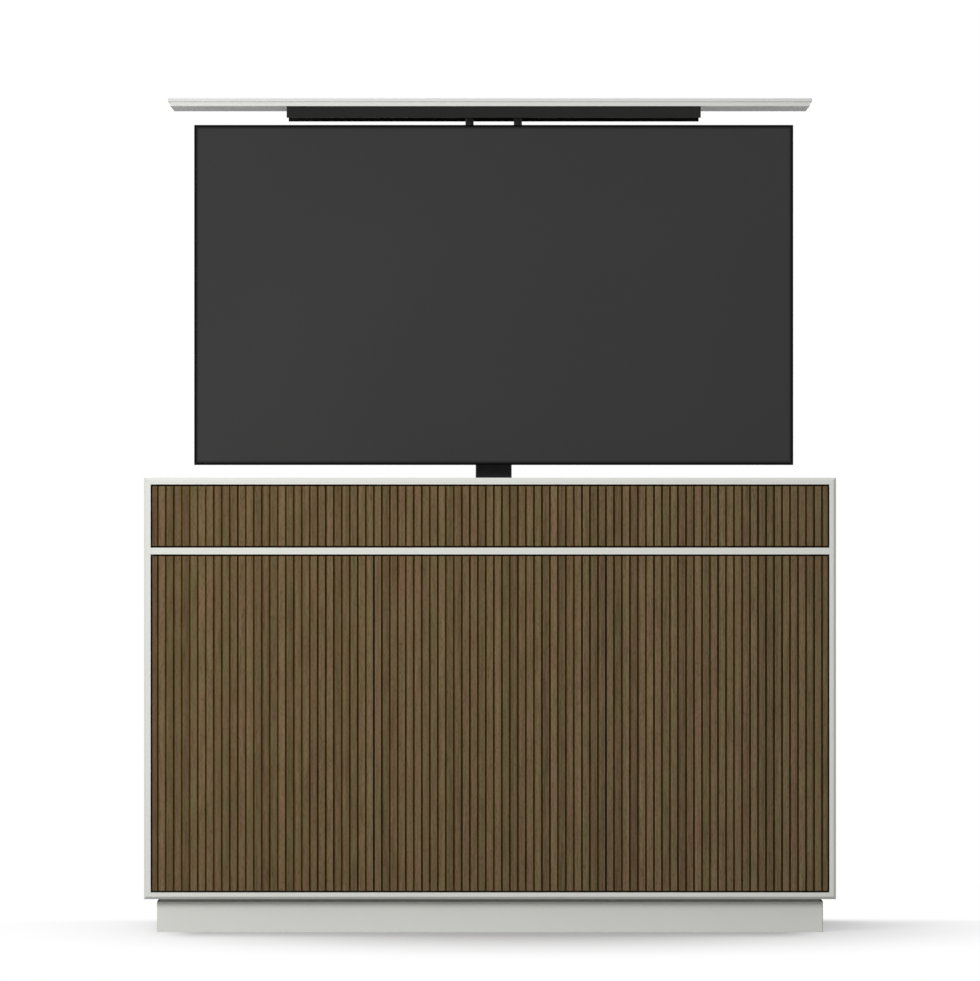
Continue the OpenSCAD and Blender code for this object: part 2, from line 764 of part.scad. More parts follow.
// Bronze nut in the foot of the middle tube
module lower_nut() color("goldenrod") placed() difference() {
    union() {
        column_rod(lower_nut_r, middle_z0, middle_z0 + lower_nut_h);
        column_rod(lower_nut_r + lower_nut_flange, middle_z0 + end_plate_t,
                   middle_z0 + end_plate_t + lower_nut_flange);
    }
    column_rod(lower_screw_r + drive_fit, middle_z0 - eps, middle_z0 + lower_nut_h + eps);
}

// Hollow screw that turns with the lower one and drives the inner tube
module upper_screw() color("silver") placed() difference() {
    column_rod(upper_screw_r, middle_z0 + lower_nut_h + 2, middle_z1 - 20);
    column_rod(upper_screw_bore, middle_z0, middle_z1);
}

module column_inner() color("dimgray") placed() {
    stage_tube(inner_w, inner_d, inner_z0, inner_z1);
    foot_plate(inner_w, inner_d, upper_nut_neck, inner_z0);
}

// Pads outside the foot of the inner tube
module column_glides_inner() color("white") placed()
    glide_ring(inner_w, inner_d, tube_gap - glide_clear, inner_z0 + glide_foot);

// Bronze nut on the foot plate of the inner tube
module upper_nut() color("goldenrod") placed() difference() {
    union() {
        column_rod(upper_nut_neck, inner_z0, inner_z0 + upper_nut_h);
        column_rod(upper_nut_r, inner_z0 + end_plate_t, inner_z0 + upper_nut_h);
    }
    column_rod(upper_screw_r + drive_fit, inner_z0 - eps, inner_z0 + upper_nut_h + eps);
}

// Cap on the inner tube that reaches forward to the mount frame, with the lid-post sockets
module mast_head() color("dimgray") placed() difference() {
    union() {
        box([lift_x - spine_w / 2, spine_front, inner_z1],
            [lift_x + spine_w / 2, column_y + inner_d / 2, inner_z1 + head_t]);
        for (s = [-1, 1]) translate([lift_x + s * post_x, post_y, socket_z0])
            cylinder(r = socket_r, h = socket_h);
    }
    for (s = [-1, 1]) translate([lift_x + s * post_x, post_y, socket_z0 - eps])
        cylinder(r = post_r + post_fit, h = socket_h + 2 * eps);
}

// Welded frame: spine plate under the mast head, with two cross rails
module tv_mount_frame() color("dimgray") placed() {
    rail_l = vesa + 50;
    window_w = 60;
    window_h = 30;
    difference() {
        box([lift_x - spine_w / 2, spine_front, spine_z0],
            [lift_x + spine_w / 2, spine_front + spine_t, inner_z1]);
        for (z = window_zs) translate([lift_x, spine_front - eps, z])
            along_y(spine_t + 2 * eps) slot(window_w, window_h);
    }
    for (z = rail_zs) translate([lift_x, spine_front - rail_d, z - rail_h / 2])
        along_x(rail_l) polygon([
            [0, 0], [rail_d, 0], [rail_d, rail_h], [0, rail_h], [0, rail_h - rail_flange],
            [rail_d - rail_t, rail_h - rail_flange], [rail_d - rail_t, rail_flange], [0, rail_flange]
        ]);
}

// Channels bolted to the television, which hang on the cross rails
module vesa_arms() color("dimgray") placed()
    for (s = [-1, 1]) translate([lift_x + s * vesa / 2, tv_rear, 0]) difference() {
        half_w = arm_w / 2;
        translate([0, 0, tv_zc - arm_h / 2]) linear_extrude(arm_h) polygon([
            [-half_w, arm_d], [-half_w, 0], [half_w, 0], [half_w, arm_d],
            [half_w - arm_t, arm_d], [half_w - arm_t, arm_t],
            [-half_w + arm_t, arm_t], [-half_w + arm_t, arm_d]
        ]);
        for (z = [-vesa / 2, vesa / 2]) translate([0, -eps, tv_zc + z])
            rotate([-90, 0, 0]) cylinder(r = vesa_bolt_r + 0.2, h = arm_t + 2 * eps, $fn = small_fn);
    }

// Screws through the channels into the television's bosses
module vesa_bolts() color("silver") placed()
    for (s = [-1, 1], z = [-vesa / 2, vesa / 2])
        translate([lift_x + s * vesa / 2, tv_rear - vesa_bolt_deep, tv_zc + z]) rotate([-90, 0, 0]) {
            cylinder(r = vesa_bolt_r, h = vesa_bolt_deep + arm_t, $fn = small_fn);
            translate([0, 0, vesa_bolt_deep + arm_t]) socket_head(7.5, 5, 3, 2);
        }

// ---------------------------------------------------------------- television

module tv_bezel() color("black") placed() translate([lift_x, tv_front, tv_zc]) along_y(bezel_d)
    difference() {
        round_rect(tv_w, tv_h, tv_corner);
        square([tv_in_w, tv_in_h], center = true);
    }

module tv_screen() color("dimgray") placed() translate([lift_x, glass_y0, tv_zc]) along_y(glass_t)
    square([tv_in_w, tv_in_h], center = true);

// Steel tray behind the screen, with the four threaded bosses for the mount
module tv_chassis() color("silver") placed() translate([lift_x, 0, tv_zc]) {
    boss_l = tv_rear - cover_t - tray_y1 + tray_t;
    translate([0, tray_y1 - tray_t, 0]) along_y(tray_t) square([tv_in_w, tv_in_h], center = true);
    translate([0, glass_y0 + glass_t, 0]) along_y(tray_y1 - glass_y0 - glass_t) difference() {
        square([tv_in_w, tv_in_h], center = true);
        square([tv_in_w - 2 * tray_t, tv_in_h - 2 * tray_t], center = true);
    }
    for (sx = [-1, 1], sz = [-1, 1])
        translate([sx * vesa / 2, tray_y1 - tray_t, sz * vesa / 2]) rotate([-90, 0, 0]) difference() {
            cylinder(r = boss_r, h = boss_l);
            translate([0, 0, boss_l + cover_t - vesa_bolt_deep - 2])
                cylinder(r = vesa_bolt_r + 0.05, h = vesa_bolt_deep + 2, $fn = small_fn);
        }
}

// Outline of the housing in (y, z), drawn t inside its outer skin
module housing_outline(t) {
    bevel_y = 6;
    polygon([
        [tv_front + tv_thin - 2 * t, house_z0 + t], [tv_rear - bevel_y - t, house_z0 + 8 + t],
        [tv_rear - t, house_z0 + 20 + t], [tv_rear - t, house_z1 - 20 - t],
        [tv_rear - bevel_y - t, house_z1 - 6 - t], [tv_front + tv_thin - 2 * t, house_z1 + 14 - t]
    ]);
}

// Plastic back shell: thin upper part, hollow housing low down, socket recess and air slots
module tv_rear_cover() color("black") placed() translate([lift_x, 0, 0]) {
    thin_d = tv_thin - bezel_d;
    difference() {
        union() {
            translate([0, tray_y1, tv_zc]) along_y(thin_d) round_rect(tv_w - 1, tv_h - 1, tv_corner);
            along_x(house_w) housing_outline(0);
        }
        translate([0, tray_y1 - eps, tv_zc]) along_y(thin_d - cover_t + eps)
            square([tv_in_w, tv_in_h], center = true);
        along_x(house_w - 2 * cover_t) housing_outline(cover_t);
        for (sx = [-1, 1], sz = [-1, 1])
            translate([sx * vesa / 2, tv_rear + eps, tv_zc + sz * vesa / 2]) rotate([90, 0, 0])
                cylinder(r = vesa_bolt_r + 0.4, h = cover_t + 2 * eps, $fn = small_fn);
        box([port_x[0], tv_rear - port_deep, port_z[0]], [port_x[1], tv_rear + eps, port_z[1]]);
        for (k = [-cover_slots:cover_slots])
            translate([k * cover_slot_pitch, tv_rear - cover_t - eps, house_z1 - cover_slot_drop])
                along_y(cover_t + 2 * eps) slot(22, 4);
    }
    // walls and floor of the socket recess
    difference() {
        box([port_x[0] - cover_t, tv_rear - port_deep - cover_t, port_z[0] - cover_t],
            [port_x[1] + cover_t, tv_rear - cover_t, port_z[1] + cover_t]);
        box([port_x[0], tv_rear - port_deep, port_z[0]], [port_x[1], tv_rear, port_z[1]]);
    }
}

// ---------------------------------------------------------------- lid

module lid_panel() color("gainsboro") placed() {
    box([-lid_w / 2, lid_front, lid_top - lip_t], [lid_w / 2, lid_rear, lid_top]);
    box([-lid_w / 2 + lip_over, lid_front + lip_over, lid_top - lid_t],
        [lid_w / 2 - lip_over, lid_rear - lip_over, lid_top - lip_t]);
}

// Folded sheet under the lid: web, two walls and hemmed lower edges
module lid_carrier() color("black") placed()
    translate([lift_x, carrier_front, lid_top - lid_t - carrier_h]) along_x(carrier_w) polygon([
        [0, 0], [carrier_lip, 0], [carrier_lip, carrier_t], [carrier_t, carrier_t],
        [carrier_t, carrier_h - carrier_t], [carrier_d - carrier_t, carrier_h - carrier_t],
        [carrier_d - carrier_t, carrier_t], [carrier_d - carrier_lip, carrier_t],
        [carrier_d - carrier_lip, 0], [carrier_d, 0], [carrier_d, carrier_h], [0, carrier_h]
    ]);

// Guide posts that stand in the mast head's sockets: foot collar, rod and flange under the web
module lid_posts() color("black") placed() {
    z0 = socket_z0 + 8;
    z1 = lid_top - lid_t - carrier_t;
    flange_t = 4;
    for (s = [-1, 1]) translate([lift_x + s * post_x, post_y, 0]) {
        translate([0, 0, z0]) cylinder(r = post_r, h = z1 - z0);
        translate([0, 0, z1 - flange_t]) cylinder(r = 2 * post_r, h = flange_t);
        translate([0, 0, inner_z1 + head_t + 0.3]) cylinder(r = post_r + 3, h = 5);
    }
}

// ---------------------------------------------------------------- nodes

side_panel(-1);  // side_panel_left
side_panel(1);  // side_panel_right
top_panel();
bottom_panel();
soundbar_shelf();
dividers();
bay_partition();
back_panel();
back_access_panel();
back_panel_screws();
back_rail();
plinth_frame();
shelves();
shelf_pins();
hinge_plates();
hinge_arms();
latch_bodies();
lift_base_plate();
lift_gearbox();
lift_motor();
column_outer();
column_glides_outer();
column_bracket();
control_box();
anchor_bolts();
lower_screw();
column_middle();
column_glides_middle();
lower_nut();
upper_screw();
column_inner();
column_glides_inner();
upper_nut();
mast_head();
tv_mount_frame();
vesa_arms();
vesa_bolts();
tv_chassis();
tv_rear_cover();
tv_bezel();
tv_screen();
lid_panel();
lid_carrier();
lid_posts();
side_door_panel(-1);  // door_left_panel
side_door_slats(-1);  // door_left_slats
door_cups(-half_field + cup_inset);  // door_left_hinge_cups
door_centre_panel();
slat_row(-centre_half, centre_slats, door_z0, door_z1);  // door_centre_slats
door_cups(-seam_in + cup_inset);  // door_centre_hinge_cups
side_door_panel(1);  // door_right_panel
side_door_slats(1);  // door_right_slats
door_cups(half_field - cup_inset);  // door_right_hinge_cups
flap_panel();
flap_slats();
flap_cups();  // flap_hinge_cups
latch_plunger(latch_left);  // latch_plunger_left
latch_plunger(latch_centre);  // latch_plunger_centre
latch_plunger(latch_right);  // latch_plunger_right
latch_plunger(latch_flap);  // latch_plunger_flap
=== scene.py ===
"""Television lift cabinet: slatted walnut fronts, satin white carcass, a raised lid and screen.

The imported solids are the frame. This script gives every solid its finish, and replaces the pieces
whose edges and outlines matter most with surfaces worked out with numpy. Lengths are in metres.
"""

from __future__ import annotations

import logging
import math
from dataclasses import dataclass, field
from enum import Enum

import bpy
import numpy as np
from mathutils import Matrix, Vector


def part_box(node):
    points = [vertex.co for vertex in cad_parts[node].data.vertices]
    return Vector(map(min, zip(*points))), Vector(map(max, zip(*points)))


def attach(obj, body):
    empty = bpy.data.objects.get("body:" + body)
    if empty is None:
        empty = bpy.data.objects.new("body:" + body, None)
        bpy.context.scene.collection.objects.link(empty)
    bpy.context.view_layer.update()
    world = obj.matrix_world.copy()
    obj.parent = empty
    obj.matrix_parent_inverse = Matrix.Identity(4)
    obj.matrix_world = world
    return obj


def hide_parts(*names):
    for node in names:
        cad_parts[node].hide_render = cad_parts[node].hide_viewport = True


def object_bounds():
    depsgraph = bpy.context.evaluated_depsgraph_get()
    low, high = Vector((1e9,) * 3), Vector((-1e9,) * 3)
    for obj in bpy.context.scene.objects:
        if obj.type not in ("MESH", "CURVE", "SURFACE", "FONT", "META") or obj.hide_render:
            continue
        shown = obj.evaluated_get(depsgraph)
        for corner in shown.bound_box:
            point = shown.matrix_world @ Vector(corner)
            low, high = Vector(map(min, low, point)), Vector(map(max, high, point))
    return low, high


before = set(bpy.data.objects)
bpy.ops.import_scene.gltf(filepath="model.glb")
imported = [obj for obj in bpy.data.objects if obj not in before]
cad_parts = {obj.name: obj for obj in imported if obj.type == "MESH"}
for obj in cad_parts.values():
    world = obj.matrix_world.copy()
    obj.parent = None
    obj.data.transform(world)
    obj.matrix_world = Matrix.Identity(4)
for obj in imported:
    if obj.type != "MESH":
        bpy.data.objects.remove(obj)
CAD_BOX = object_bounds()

LOG = logging.getLogger("lift_cabinet")
MM = 0.001
# Points nearer to each other than this are one point.
WELD = 0.002 * MM
Array = np.ndarray
Triple = tuple[float, float, float]


# ------------------------------------------------------------------ curves and surfaces


@dataclass(frozen=True)
class Curve:
    """A plane curve: its points, and the unit normal at each, which points out of the piece.

    Each point also knows its arc's radius, and the mitre that its corner follows once the curve
    is set back further than that.
    """

    points: Array
    normals: Array
    radii: Array
    mitres: Array

    @classmethod
    def rounded(cls, corners: list[tuple[float, float]], radii: float | list[float],
                closed: bool = True, steps: int = 3) -> Curve:
        """A polygon, drawn anticlockwise, whose corners are arcs.

        Between an edge with normal m and the next with normal n, the arc of radius r turns about
        c - s r (m + n) / (1 + m . n), where c is the corner and s is -1 at a hollow corner.

        Args:
            corners: The polygon's corners, or those of an open line.
            radii: The radius at every corner, or one for each.
            closed: Whether the last corner joins the first. An open line's ends aren't rounded.
            steps: Facets of each arc.

        Returns:
            The rounded curve.
        """
        c = np.array(corners, float)
        edges = np.roll(c, -1, axis=0) - c
        if not closed:
            edges[-1] = edges[-2]
        after = np.stack([edges[:, 1], -edges[:, 0]], axis=1)
        after /= np.linalg.norm(after, axis=1, keepdims=True)
        before = np.roll(after, 1, axis=0)
        if not closed:
            before[0] = after[0]
        r = np.broadcast_to(np.asarray(radii, float), len(c)).copy()
        if not closed:
            r[[0, -1]] = 0.0
        turn = np.arctan2(before[:, 0] * after[:, 1] - before[:, 1] * after[:, 0],
                          np.sum(before * after, axis=1))
        signed = np.where(turn < 0, -r, r)[:, None]
        mitre = (before + after) / (1 + np.sum(before * after, axis=1))[:, None]
        centre = c - signed * mitre
        angle = turn[:, None] * np.linspace(0, 1, steps + 1)[None, :]
        cos, sin = np.cos(angle)[..., None], np.sin(angle)[..., None]
        side = np.stack([-before[:, 1], before[:, 0]], axis=1)
        normals = cos * before[:, None, :] + sin * side[:, None, :]
        points = centre[:, None, :] + signed[:, None, :] * normals
        limit = np.repeat(np.where(turn < 0, np.inf, r), steps + 1)
        ends = slice(None) if closed else slice(steps, -steps)
        return cls(points.reshape(-1, 2)[ends], normals.reshape(-1, 2)[ends], limit[ends],
                   np.repeat(mitre, steps + 1, axis=0)[ends])

    @classmethod
    def rectangle(cls, low: tuple[float, float], high: tuple[float, float],
                  radius: float, steps: int = 3) -> Curve:
        """A rectangle with round corners, between two opposite corners."""
        corners = [low, (high[0], low[1]), high, (low[0], high[1])]
        return cls.rounded(corners, radius, steps=steps)

    def set_back(self, insets: Array) -> Array:
        """Parallel curves, one for each inset.

        A point goes back along its normal n as far as its arc's centre, and from there along the
        mitre m of its corner: p - min(i, r) n - max(i - r, 0) m.

        Args:
            insets: How far in each curve lies.

        Returns:
            Points of shape (insets, points, 2).
        """
        along = np.minimum(insets[:, None], self.radii)
        beyond = insets[:, None] - along
        return self.points - along[..., None] * self.normals - beyond[..., None] * self.mitres


class Along(Enum):
    """The axis that a plan is carried along. The plan lies in the other two, in the order X, Y, Z."""

    X = (2, 0, 1)
    Y = (0, 2, 1)
    Z = (0, 1, 2)


def carry(plan: Curve, section: Curve, along: Along) -> tuple[Array, Array]:
    """A surface of two parameters: a plan, set back and raised along a section.

    The point for section point (inset, height) is (plan set back by inset, height). Its normal is
    (-a n, b), where n is the plan's normal and (a, b) the section's.

    Args:
        plan: The closed outline.
        section: Inset and height. A closed section makes a ring, and an open one a solid.
        along: The axis that height runs along.

    Returns:
        Points and normals, both of shape (stations, plan points, 3).
    """
    flat = plan.set_back(section.points[:, 0])
    rise = np.broadcast_to(section.points[:, 1, None, None], flat.shape[:2] + (1,))
    points = np.concatenate([flat, rise], axis=2)
    flat_n = -section.normals[:, 0, None, None] * plan.normals[None]
    rise_n = np.broadcast_to(section.normals[:, 1, None, None], flat.shape[:2] + (1,))
    normals = np.concatenate([flat_n, rise_n], axis=2)
    order = list(along.value)
    return points[..., order], normals[..., order]


def slab(low: float, high: float, ease: float, steps: int = 2) -> Curve:
    """The section of a plain solid from low to high, with its end edges eased."""
    line = [(ease * 2, low), (0.0, low), (0.0, high), (ease * 2, high)]
    return Curve.rounded(line, [0, ease, ease, 0], closed=False, steps=steps)


@dataclass
class Piece:
    """A mesh under construction: grids of points that wrap round, with their normals."""

    name: str
    points: list[Array] = field(default_factory=list)
    normals: list[Array] = field(default_factory=list)
    rings: list[bool] = field(default_factory=list)
    marks: list[Array] = field(default_factory=list)

    def add(self, grid: tuple[Array, Array], ring: bool = False,
            mark: Triple | Array = (0.0, 0.0, 0.0)) -> Piece:
        """Adds one surface.

        Args:
            grid: Points and normals of shape (stations, around, 3).
            ring: Whether the last station joins the first. Otherwise both ends are capped.
            mark: Three numbers kept on every point, or on each station, which the finish can read.

        Returns:
            The piece itself.
        """
        self.points.append(grid[0])
        self.normals.append(grid[1])
        self.rings.append(ring)
        self.marks.append(np.broadcast_to(np.reshape(mark, (-1, 1, 3)), grid[0].shape))
        return self

    @staticmethod
    def _quads(stations: int, around: int, ring: bool) -> Array:
        """Corner indices of a grid's quads: station i and point j, next to i + 1 and j + 1.

        Args:
            stations: Rows of the grid.
            around: Points in each row, the last of which joins the first.
            ring: Whether the last row joins the first too.

        Returns:
            Four indices for each quad.
        """
        i = np.arange(stations if ring else stations - 1)[:, None]
        j = np.arange(around)[None, :]
        down, right = (i + 1) % stations, (j + 1) % around
        corners = [i * around + j, i * around + right, down * around + right, down * around + j]
        return np.stack(np.broadcast_arrays(*corners), axis=2).reshape(-1, 4)

    @staticmethod
    def _weld(verts: Array, corners: Array, sizes: Array) -> tuple[Array, Array, Array]:
        """Joins points that lie in one place, and drops the faces that this leaves without an area.

        Args:
            verts: Every point.
            corners: The point at each corner of each face.
            sizes: How many corners each face has.

        Returns:
            Which points stay, each corner's point among them (or -1 at a dropped corner), and the
            sizes of the faces that stay.
        """
        _, first, same = np.unique(np.round(verts / WELD), axis=0, return_index=True,
                                   return_inverse=True)
        corners = first[same.ravel()][corners]
        face = np.repeat(np.arange(len(sizes)), sizes)
        after = np.roll(corners, -1)
        ends = np.cumsum(sizes) - 1
        after[ends] = corners[ends + 1 - sizes]
        keep = corners != after
        left = np.bincount(face[keep], minlength=len(sizes))
        keep &= left[face] > 2
        used, corners[keep] = np.unique(corners[keep], return_inverse=True)
        corners[~keep] = -1
        return used, corners, left[left > 2]

    @staticmethod
    def _cap(grid: Array, end: int, other: int) -> tuple[Array, Array]:
        """The face that closes one end of a surface, turned away from the station next to it.

        With m the end's middle, the face looks along the sum of (p - m) x (q - m) over its points p
        and those after them, q, or against it.

        Args:
            grid: The surface's points.
            end: The station that is closed.
            other: The station next to it.

        Returns:
            The point at each corner, and the normal at each.
        """
        middle = grid[end].mean(axis=0)
        arms = grid[end] - middle
        turn = np.cross(arms, np.roll(arms, -1, axis=0)).sum(axis=0)
        into = turn @ (grid[other].mean(axis=0) - middle)
        corners = end * len(arms) + np.arange(len(arms))
        facing = -turn * np.sign(into) / np.linalg.norm(turn)
        return corners if into < 0 else corners[::-1], np.tile(facing, (len(arms), 1))

    def _faces(self) -> tuple[Array, Array, Array]:
        """Every face of every surface, turned the way that its normals point.

        Returns:
            The point at each corner of each face, how many corners each face has, and the normal at
            each corner.
        """
        corners, sizes, normals = [], [], []
        base = 0
        for grid, normal, ring in zip(self.points, self.normals, self.rings, strict=True):
            stations, around = grid.shape[:2]
            flat, flat_normal = grid.reshape(-1, 3), normal.reshape(-1, 3)
            quads = self._quads(stations, around, ring)
            a, b, c = (flat[quads[:, k]] for k in range(3))
            if np.sum(np.cross(b - a, c - a) * flat_normal[quads].sum(axis=1)) < 0:
                quads = quads[:, ::-1]
            corners.append(quads.ravel() + base)
            sizes.append(np.full(len(quads), 4))
            normals.append(flat_normal[quads.ravel()])
            for end, other in () if ring else ((0, 1), (stations - 1, stations - 2)):
                cap, facing = self._cap(grid, end, other)
                corners.append(cap + base)
                sizes.append(np.array([around]))
                normals.append(facing)
            base += len(flat)
        return np.concatenate(corners), np.concatenate(sizes), np.concatenate(normals)

    def _mesh(self) -> bpy.types.Mesh:
        """Welds the surfaces into one mesh, with their own normals and marks.

        Returns:
            The mesh.
        """
        verts = np.concatenate([g.reshape(-1, 3) for g in self.points])
        marks = np.concatenate([m.reshape(-1, 3) for m in self.marks])
        corners, sizes, normals = self._faces()
        used, corners, sizes = self._weld(verts, corners, sizes)
        verts, marks = verts[used], marks[used]
        kept = corners >= 0
        corners, normals = corners[kept], normals[kept]
        mesh = bpy.data.meshes.new(self.name)
        mesh.vertices.add(len(verts))
        mesh.vertices.foreach_set("co", verts.astype(np.float32).ravel())
        mesh.loops.add(len(corners))
        mesh.loops.foreach_set("vertex_index", corners.astype(np.int32))
        mesh.polygons.add(len(sizes))
        starts = np.concatenate([[0], np.cumsum(sizes)[:-1]]).astype(np.int32)
        mesh.polygons.foreach_set("loop_start", starts)
        mesh.polygons.foreach_set("loop_total", sizes.astype(np.int32))
        mesh.update(calc_edges=True)
        mesh.validate()
        mesh.polygons.foreach_set("use_smooth", np.ones(len(sizes), bool))
        mark = mesh.attributes.new("mark", "FLOAT_VECTOR", "POINT")
        mark.data.foreach_set("vector", marks.astype(np.float32).ravel())
        mesh.normals_split_custom_set(normals.astype(np.float32))
        return mesh

    def build(self, body: str, finish: Finish, replaces: tuple[str, ...] = (),
              slot: str | None = None) -> bpy.types.Object:
        """Makes the mesh object, dresses it and hangs it on its body.

        Args:
            body: The body that the piece moves with.
            finish: What it is made of.
            replaces: The solids that it stands for.
            slot: Not used.

        Returns:
            The finished object.
        """
        mesh = self._mesh()
        mesh.materials.append(finish.material())
        piece = bpy.data.objects.new(self.name, mesh)
        bpy.context.scene.collection.objects.link(piece)
        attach(piece, body)
        if replaces:
            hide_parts(*replaces)
        LOG.info("%s: %d faces on %s", self.name, len(mesh.polygons), body)
        return piece


# ------------------------------------------------------------------ finishes


# A Mix node has sockets for every kind of data. These are the two colours and the result.
MIX_A, MIX_B, MIX_RESULT = 6, 7, 2
# How squarely a face has to look along an axis, from 0 to 1, to count as facing that way.
SQUARE = 0.9
# Nearly all of a noise's values lie in here.
NOISE_SPAN = {"From Min": 0.3, "From Max": 0.7}


def linear(code: str) -> tuple[float, float, float, float]:
    """Turns an sRGB hex colour to a linear one.

    Args:
        code: The colour, such as "#c8b090".

    Returns:
        Linear red, green, blue and alpha.
    """
    srgb = np.array([int(code[i:i + 2], 16) for i in (1, 3, 5)]) / 255
    value = np.where(srgb <= 0.04045, srgb / 12.92, ((srgb + 0.055) / 1.055) ** 2.4)
    return (*(float(v) for v in value), 1.0)


class Tree:
    """A material's or a world's nodes."""

    def __init__(self, owner: bpy.types.Material | bpy.types.World) -> None:
        """Empties a node tree.

        Args:
            owner: The material or world that the tree belongs to.
        """
        owner.use_nodes = True
        self.nodes = owner.node_tree.nodes
        self.links = owner.node_tree.links
        self.nodes.clear()

    def add(self, kind: str, inputs: dict[str | int, object] | None = None,
            **settings: object) -> bpy.types.Node:
        """Adds a node.

        Args:
            kind: The node's type without the ShaderNode in front.
            inputs: For each socket, a value or another node's output to link.
            settings: The node's own properties.

        Returns:
            The new node.
        """
        node = self.nodes.new("ShaderNode" + kind)
        for key, value in settings.items():
            setattr(node, key, value)
        for key, value in (inputs or {}).items():
            if isinstance(value, bpy.types.NodeSocket):
                self.links.new(value, node.inputs[key])
            else:
                node.inputs[key].default_value = value
        return node

    def periods(self, period: float | Triple,
                offset: bpy.types.NodeSocket | None = None) -> bpy.types.NodeSocket:
        """Object coordinates, counted in periods of a pattern.

        Args:
            period: The pattern's real size in metres, or its size along each axis.
            offset: A shift of the pattern, which may differ from piece to piece.

        Returns:
            The coordinates.
        """
        place = self.add("TexCoord").outputs["Object"]
        if offset is not None:
            place = self.add("VectorMath", {0: place, 1: offset}, operation="ADD").outputs[0]
        scale = tuple(1 / p for p in np.broadcast_to(period, 3))
        return self.add("Mapping", {"Vector": place, "Scale": scale}).outputs[0]

    def sway(self, start: float, *parts: tuple[bpy.types.NodeSocket, float]) -> bpy.types.NodeSocket:
        """A value that patterns sway: start, plus depth (value - 1/2) for each pattern.

        Args:
            start: The value where every pattern is at its middle.
            parts: The patterns, which run from 0 to 1, and their depths.

        Returns:
            The value.
        """
        total = start - sum(depth for _, depth in parts) / 2
        for value, depth in parts:
            total = self.add("Math", {0: value, 1: depth, 2: total},
                             operation="MULTIPLY_ADD").outputs[0]
        return total

    def facing(self, axis: str) -> bpy.types.NodeSocket:
        """How squarely the surface looks along an axis of the piece, from -1 to 1."""
        normal = self.add("TexCoord").outputs["Normal"]
        return self.add("SeparateXYZ", {0: normal}).outputs[axis]


@dataclass(frozen=True)
class Finish:
    """What a surface is made of. Each kind adds its own pattern.

    Shades are the brightness, and spreads what is added to the roughness, at a pattern's least
    value and at its greatest.
    """

    name: str
    colour: str
    roughness: float
    metallic: float = 0.0
    ior: float = 1.5
    specular: float = 0.5
    shades: tuple[float, float] = (1.0, 1.0)
    spreads: tuple[float, float] = (0.0, 0.0)

    def material(self) -> bpy.types.Material:
        """Makes the material the first time that it is asked for.

        Returns:
            The material of that name.
        """
        found = bpy.data.materials.get(self.name)
        if found is None:
            found = bpy.data.materials.new(self.name)
            tree = Tree(found)
            inputs = {"Base Color": linear(self.colour), "Roughness": self.roughness,
                      "Metallic": self.metallic, "IOR": self.ior,
                      "Specular IOR Level": self.specular}
            inputs.update(self.pattern(tree))
            shader = tree.add("BsdfPrincipled", inputs).outputs["BSDF"]
            tree.add("OutputMaterial", {"Surface": shader})
        return found

    def pattern(self, tree: Tree) -> dict[str, object]:
        """What varies over the surface. Each kind of finish has its own.

        Args:
            tree: The material's nodes.

        Returns:
            The shader's inputs that nodes drive.
        """
        raise NotImplementedError

    def shaded(self, tree: Tree, by: bpy.types.NodeSocket, **span: float) -> bpy.types.NodeSocket:
        """The finish's colour, in its shades by a pattern.

        Args:
            tree: The material's nodes.
            by: The pattern.
            span: The pattern's least and greatest values, where they aren't 0 and 1.

        Returns:
            The colour.
        """
        low, high = self.shades
        value = tree.add("MapRange", {"Value": by, **span, "To Min": low, "To Max": high}).outputs[0]
        return tree.add("HueSaturation", {"Color": linear(self.colour), "Value": value}).outputs[0]

    def uneven(self, tree: Tree, by: bpy.types.NodeSocket, **span: float) -> bpy.types.NodeSocket:
        """The finish's roughness, spread by a pattern. The arguments are those of shaded."""
        low, high = (self.roughness + part for part in self.spreads)
        return tree.add("MapRange", {"Value": by, **span, "To Min": low, "To Max": high}).outputs[0]

    def dress(self, *nodes: str) -> None:
        """Gives this finish to solids that keep their shape.

        Args:
            nodes: The solids' names.
        """
        for name in nodes:
            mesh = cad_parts[name].data
            mesh.materials.clear()
            mesh.materials.append(self.material())
            LOG.info("%s: %s", name, self.name)


@dataclass(frozen=True)
class SatinLacquer(Finish):
    """Polyurethane lacquer sprayed on board: an even satin face, with a faint orange peel.

    The peel is at its real size of about 2 mm, and the edges are sanded round before the spray.
    """

    peel: float = 1.8 * MM
    peel_depth: float = 0.004 * MM
    cloud: float = 0.35
    shades: tuple[float, float] = (0.985, 1.0)
    spreads: tuple[float, float] = (-0.03, 0.03)
    edge: float = 0.9 * MM
    # Colour of faces that look down: a primer, and partly painted shade.
    primer_and_shade: str = ""

    def pattern(self, tree: Tree) -> dict[str, object]:
        """Peel in the gloss and the surface, cloudiness of the spray, and eased edges.

        Args:
            tree: The material's nodes.

        Returns:
            The shader's colour, roughness and normal.
        """
        peel = tree.add("TexNoise", {"Vector": tree.periods(self.peel), "Scale": 1.0,
                                     "Detail": 2.0}).outputs["Fac"]
        cloud = tree.add("TexNoise", {"Vector": tree.periods(self.cloud), "Scale": 1.0,
                                      "Detail": 3.0}).outputs["Fac"]
        rough = self.uneven(tree, peel, **NOISE_SPAN)
        colour = self.shaded(tree, cloud, **NOISE_SPAN)
        # Faces that look down take that colour: primer, and partly painted shade that keeps the shadow
        # over the plinth deep.
        if self.primer_and_shade:
            under = tree.add("Math", {0: tree.facing("Z"), 1: -SQUARE},
                             operation="LESS_THAN").outputs[0]
            colour = tree.add("Mix", {0: under, MIX_A: colour, MIX_B: linear(self.primer_and_shade)},
                              data_type="RGBA").outputs[MIX_RESULT]
        relief = {"Height": peel, "Strength": 1.0, "Distance": self.peel_depth}
        if self.edge:
            relief["Normal"] = tree.add("Bevel", {"Radius": self.edge}, samples=4).outputs[0]
        bump = tree.add("Bump", relief).outputs[0]
        return {"Base Color": colour, "Roughness": rough, "Normal": bump}


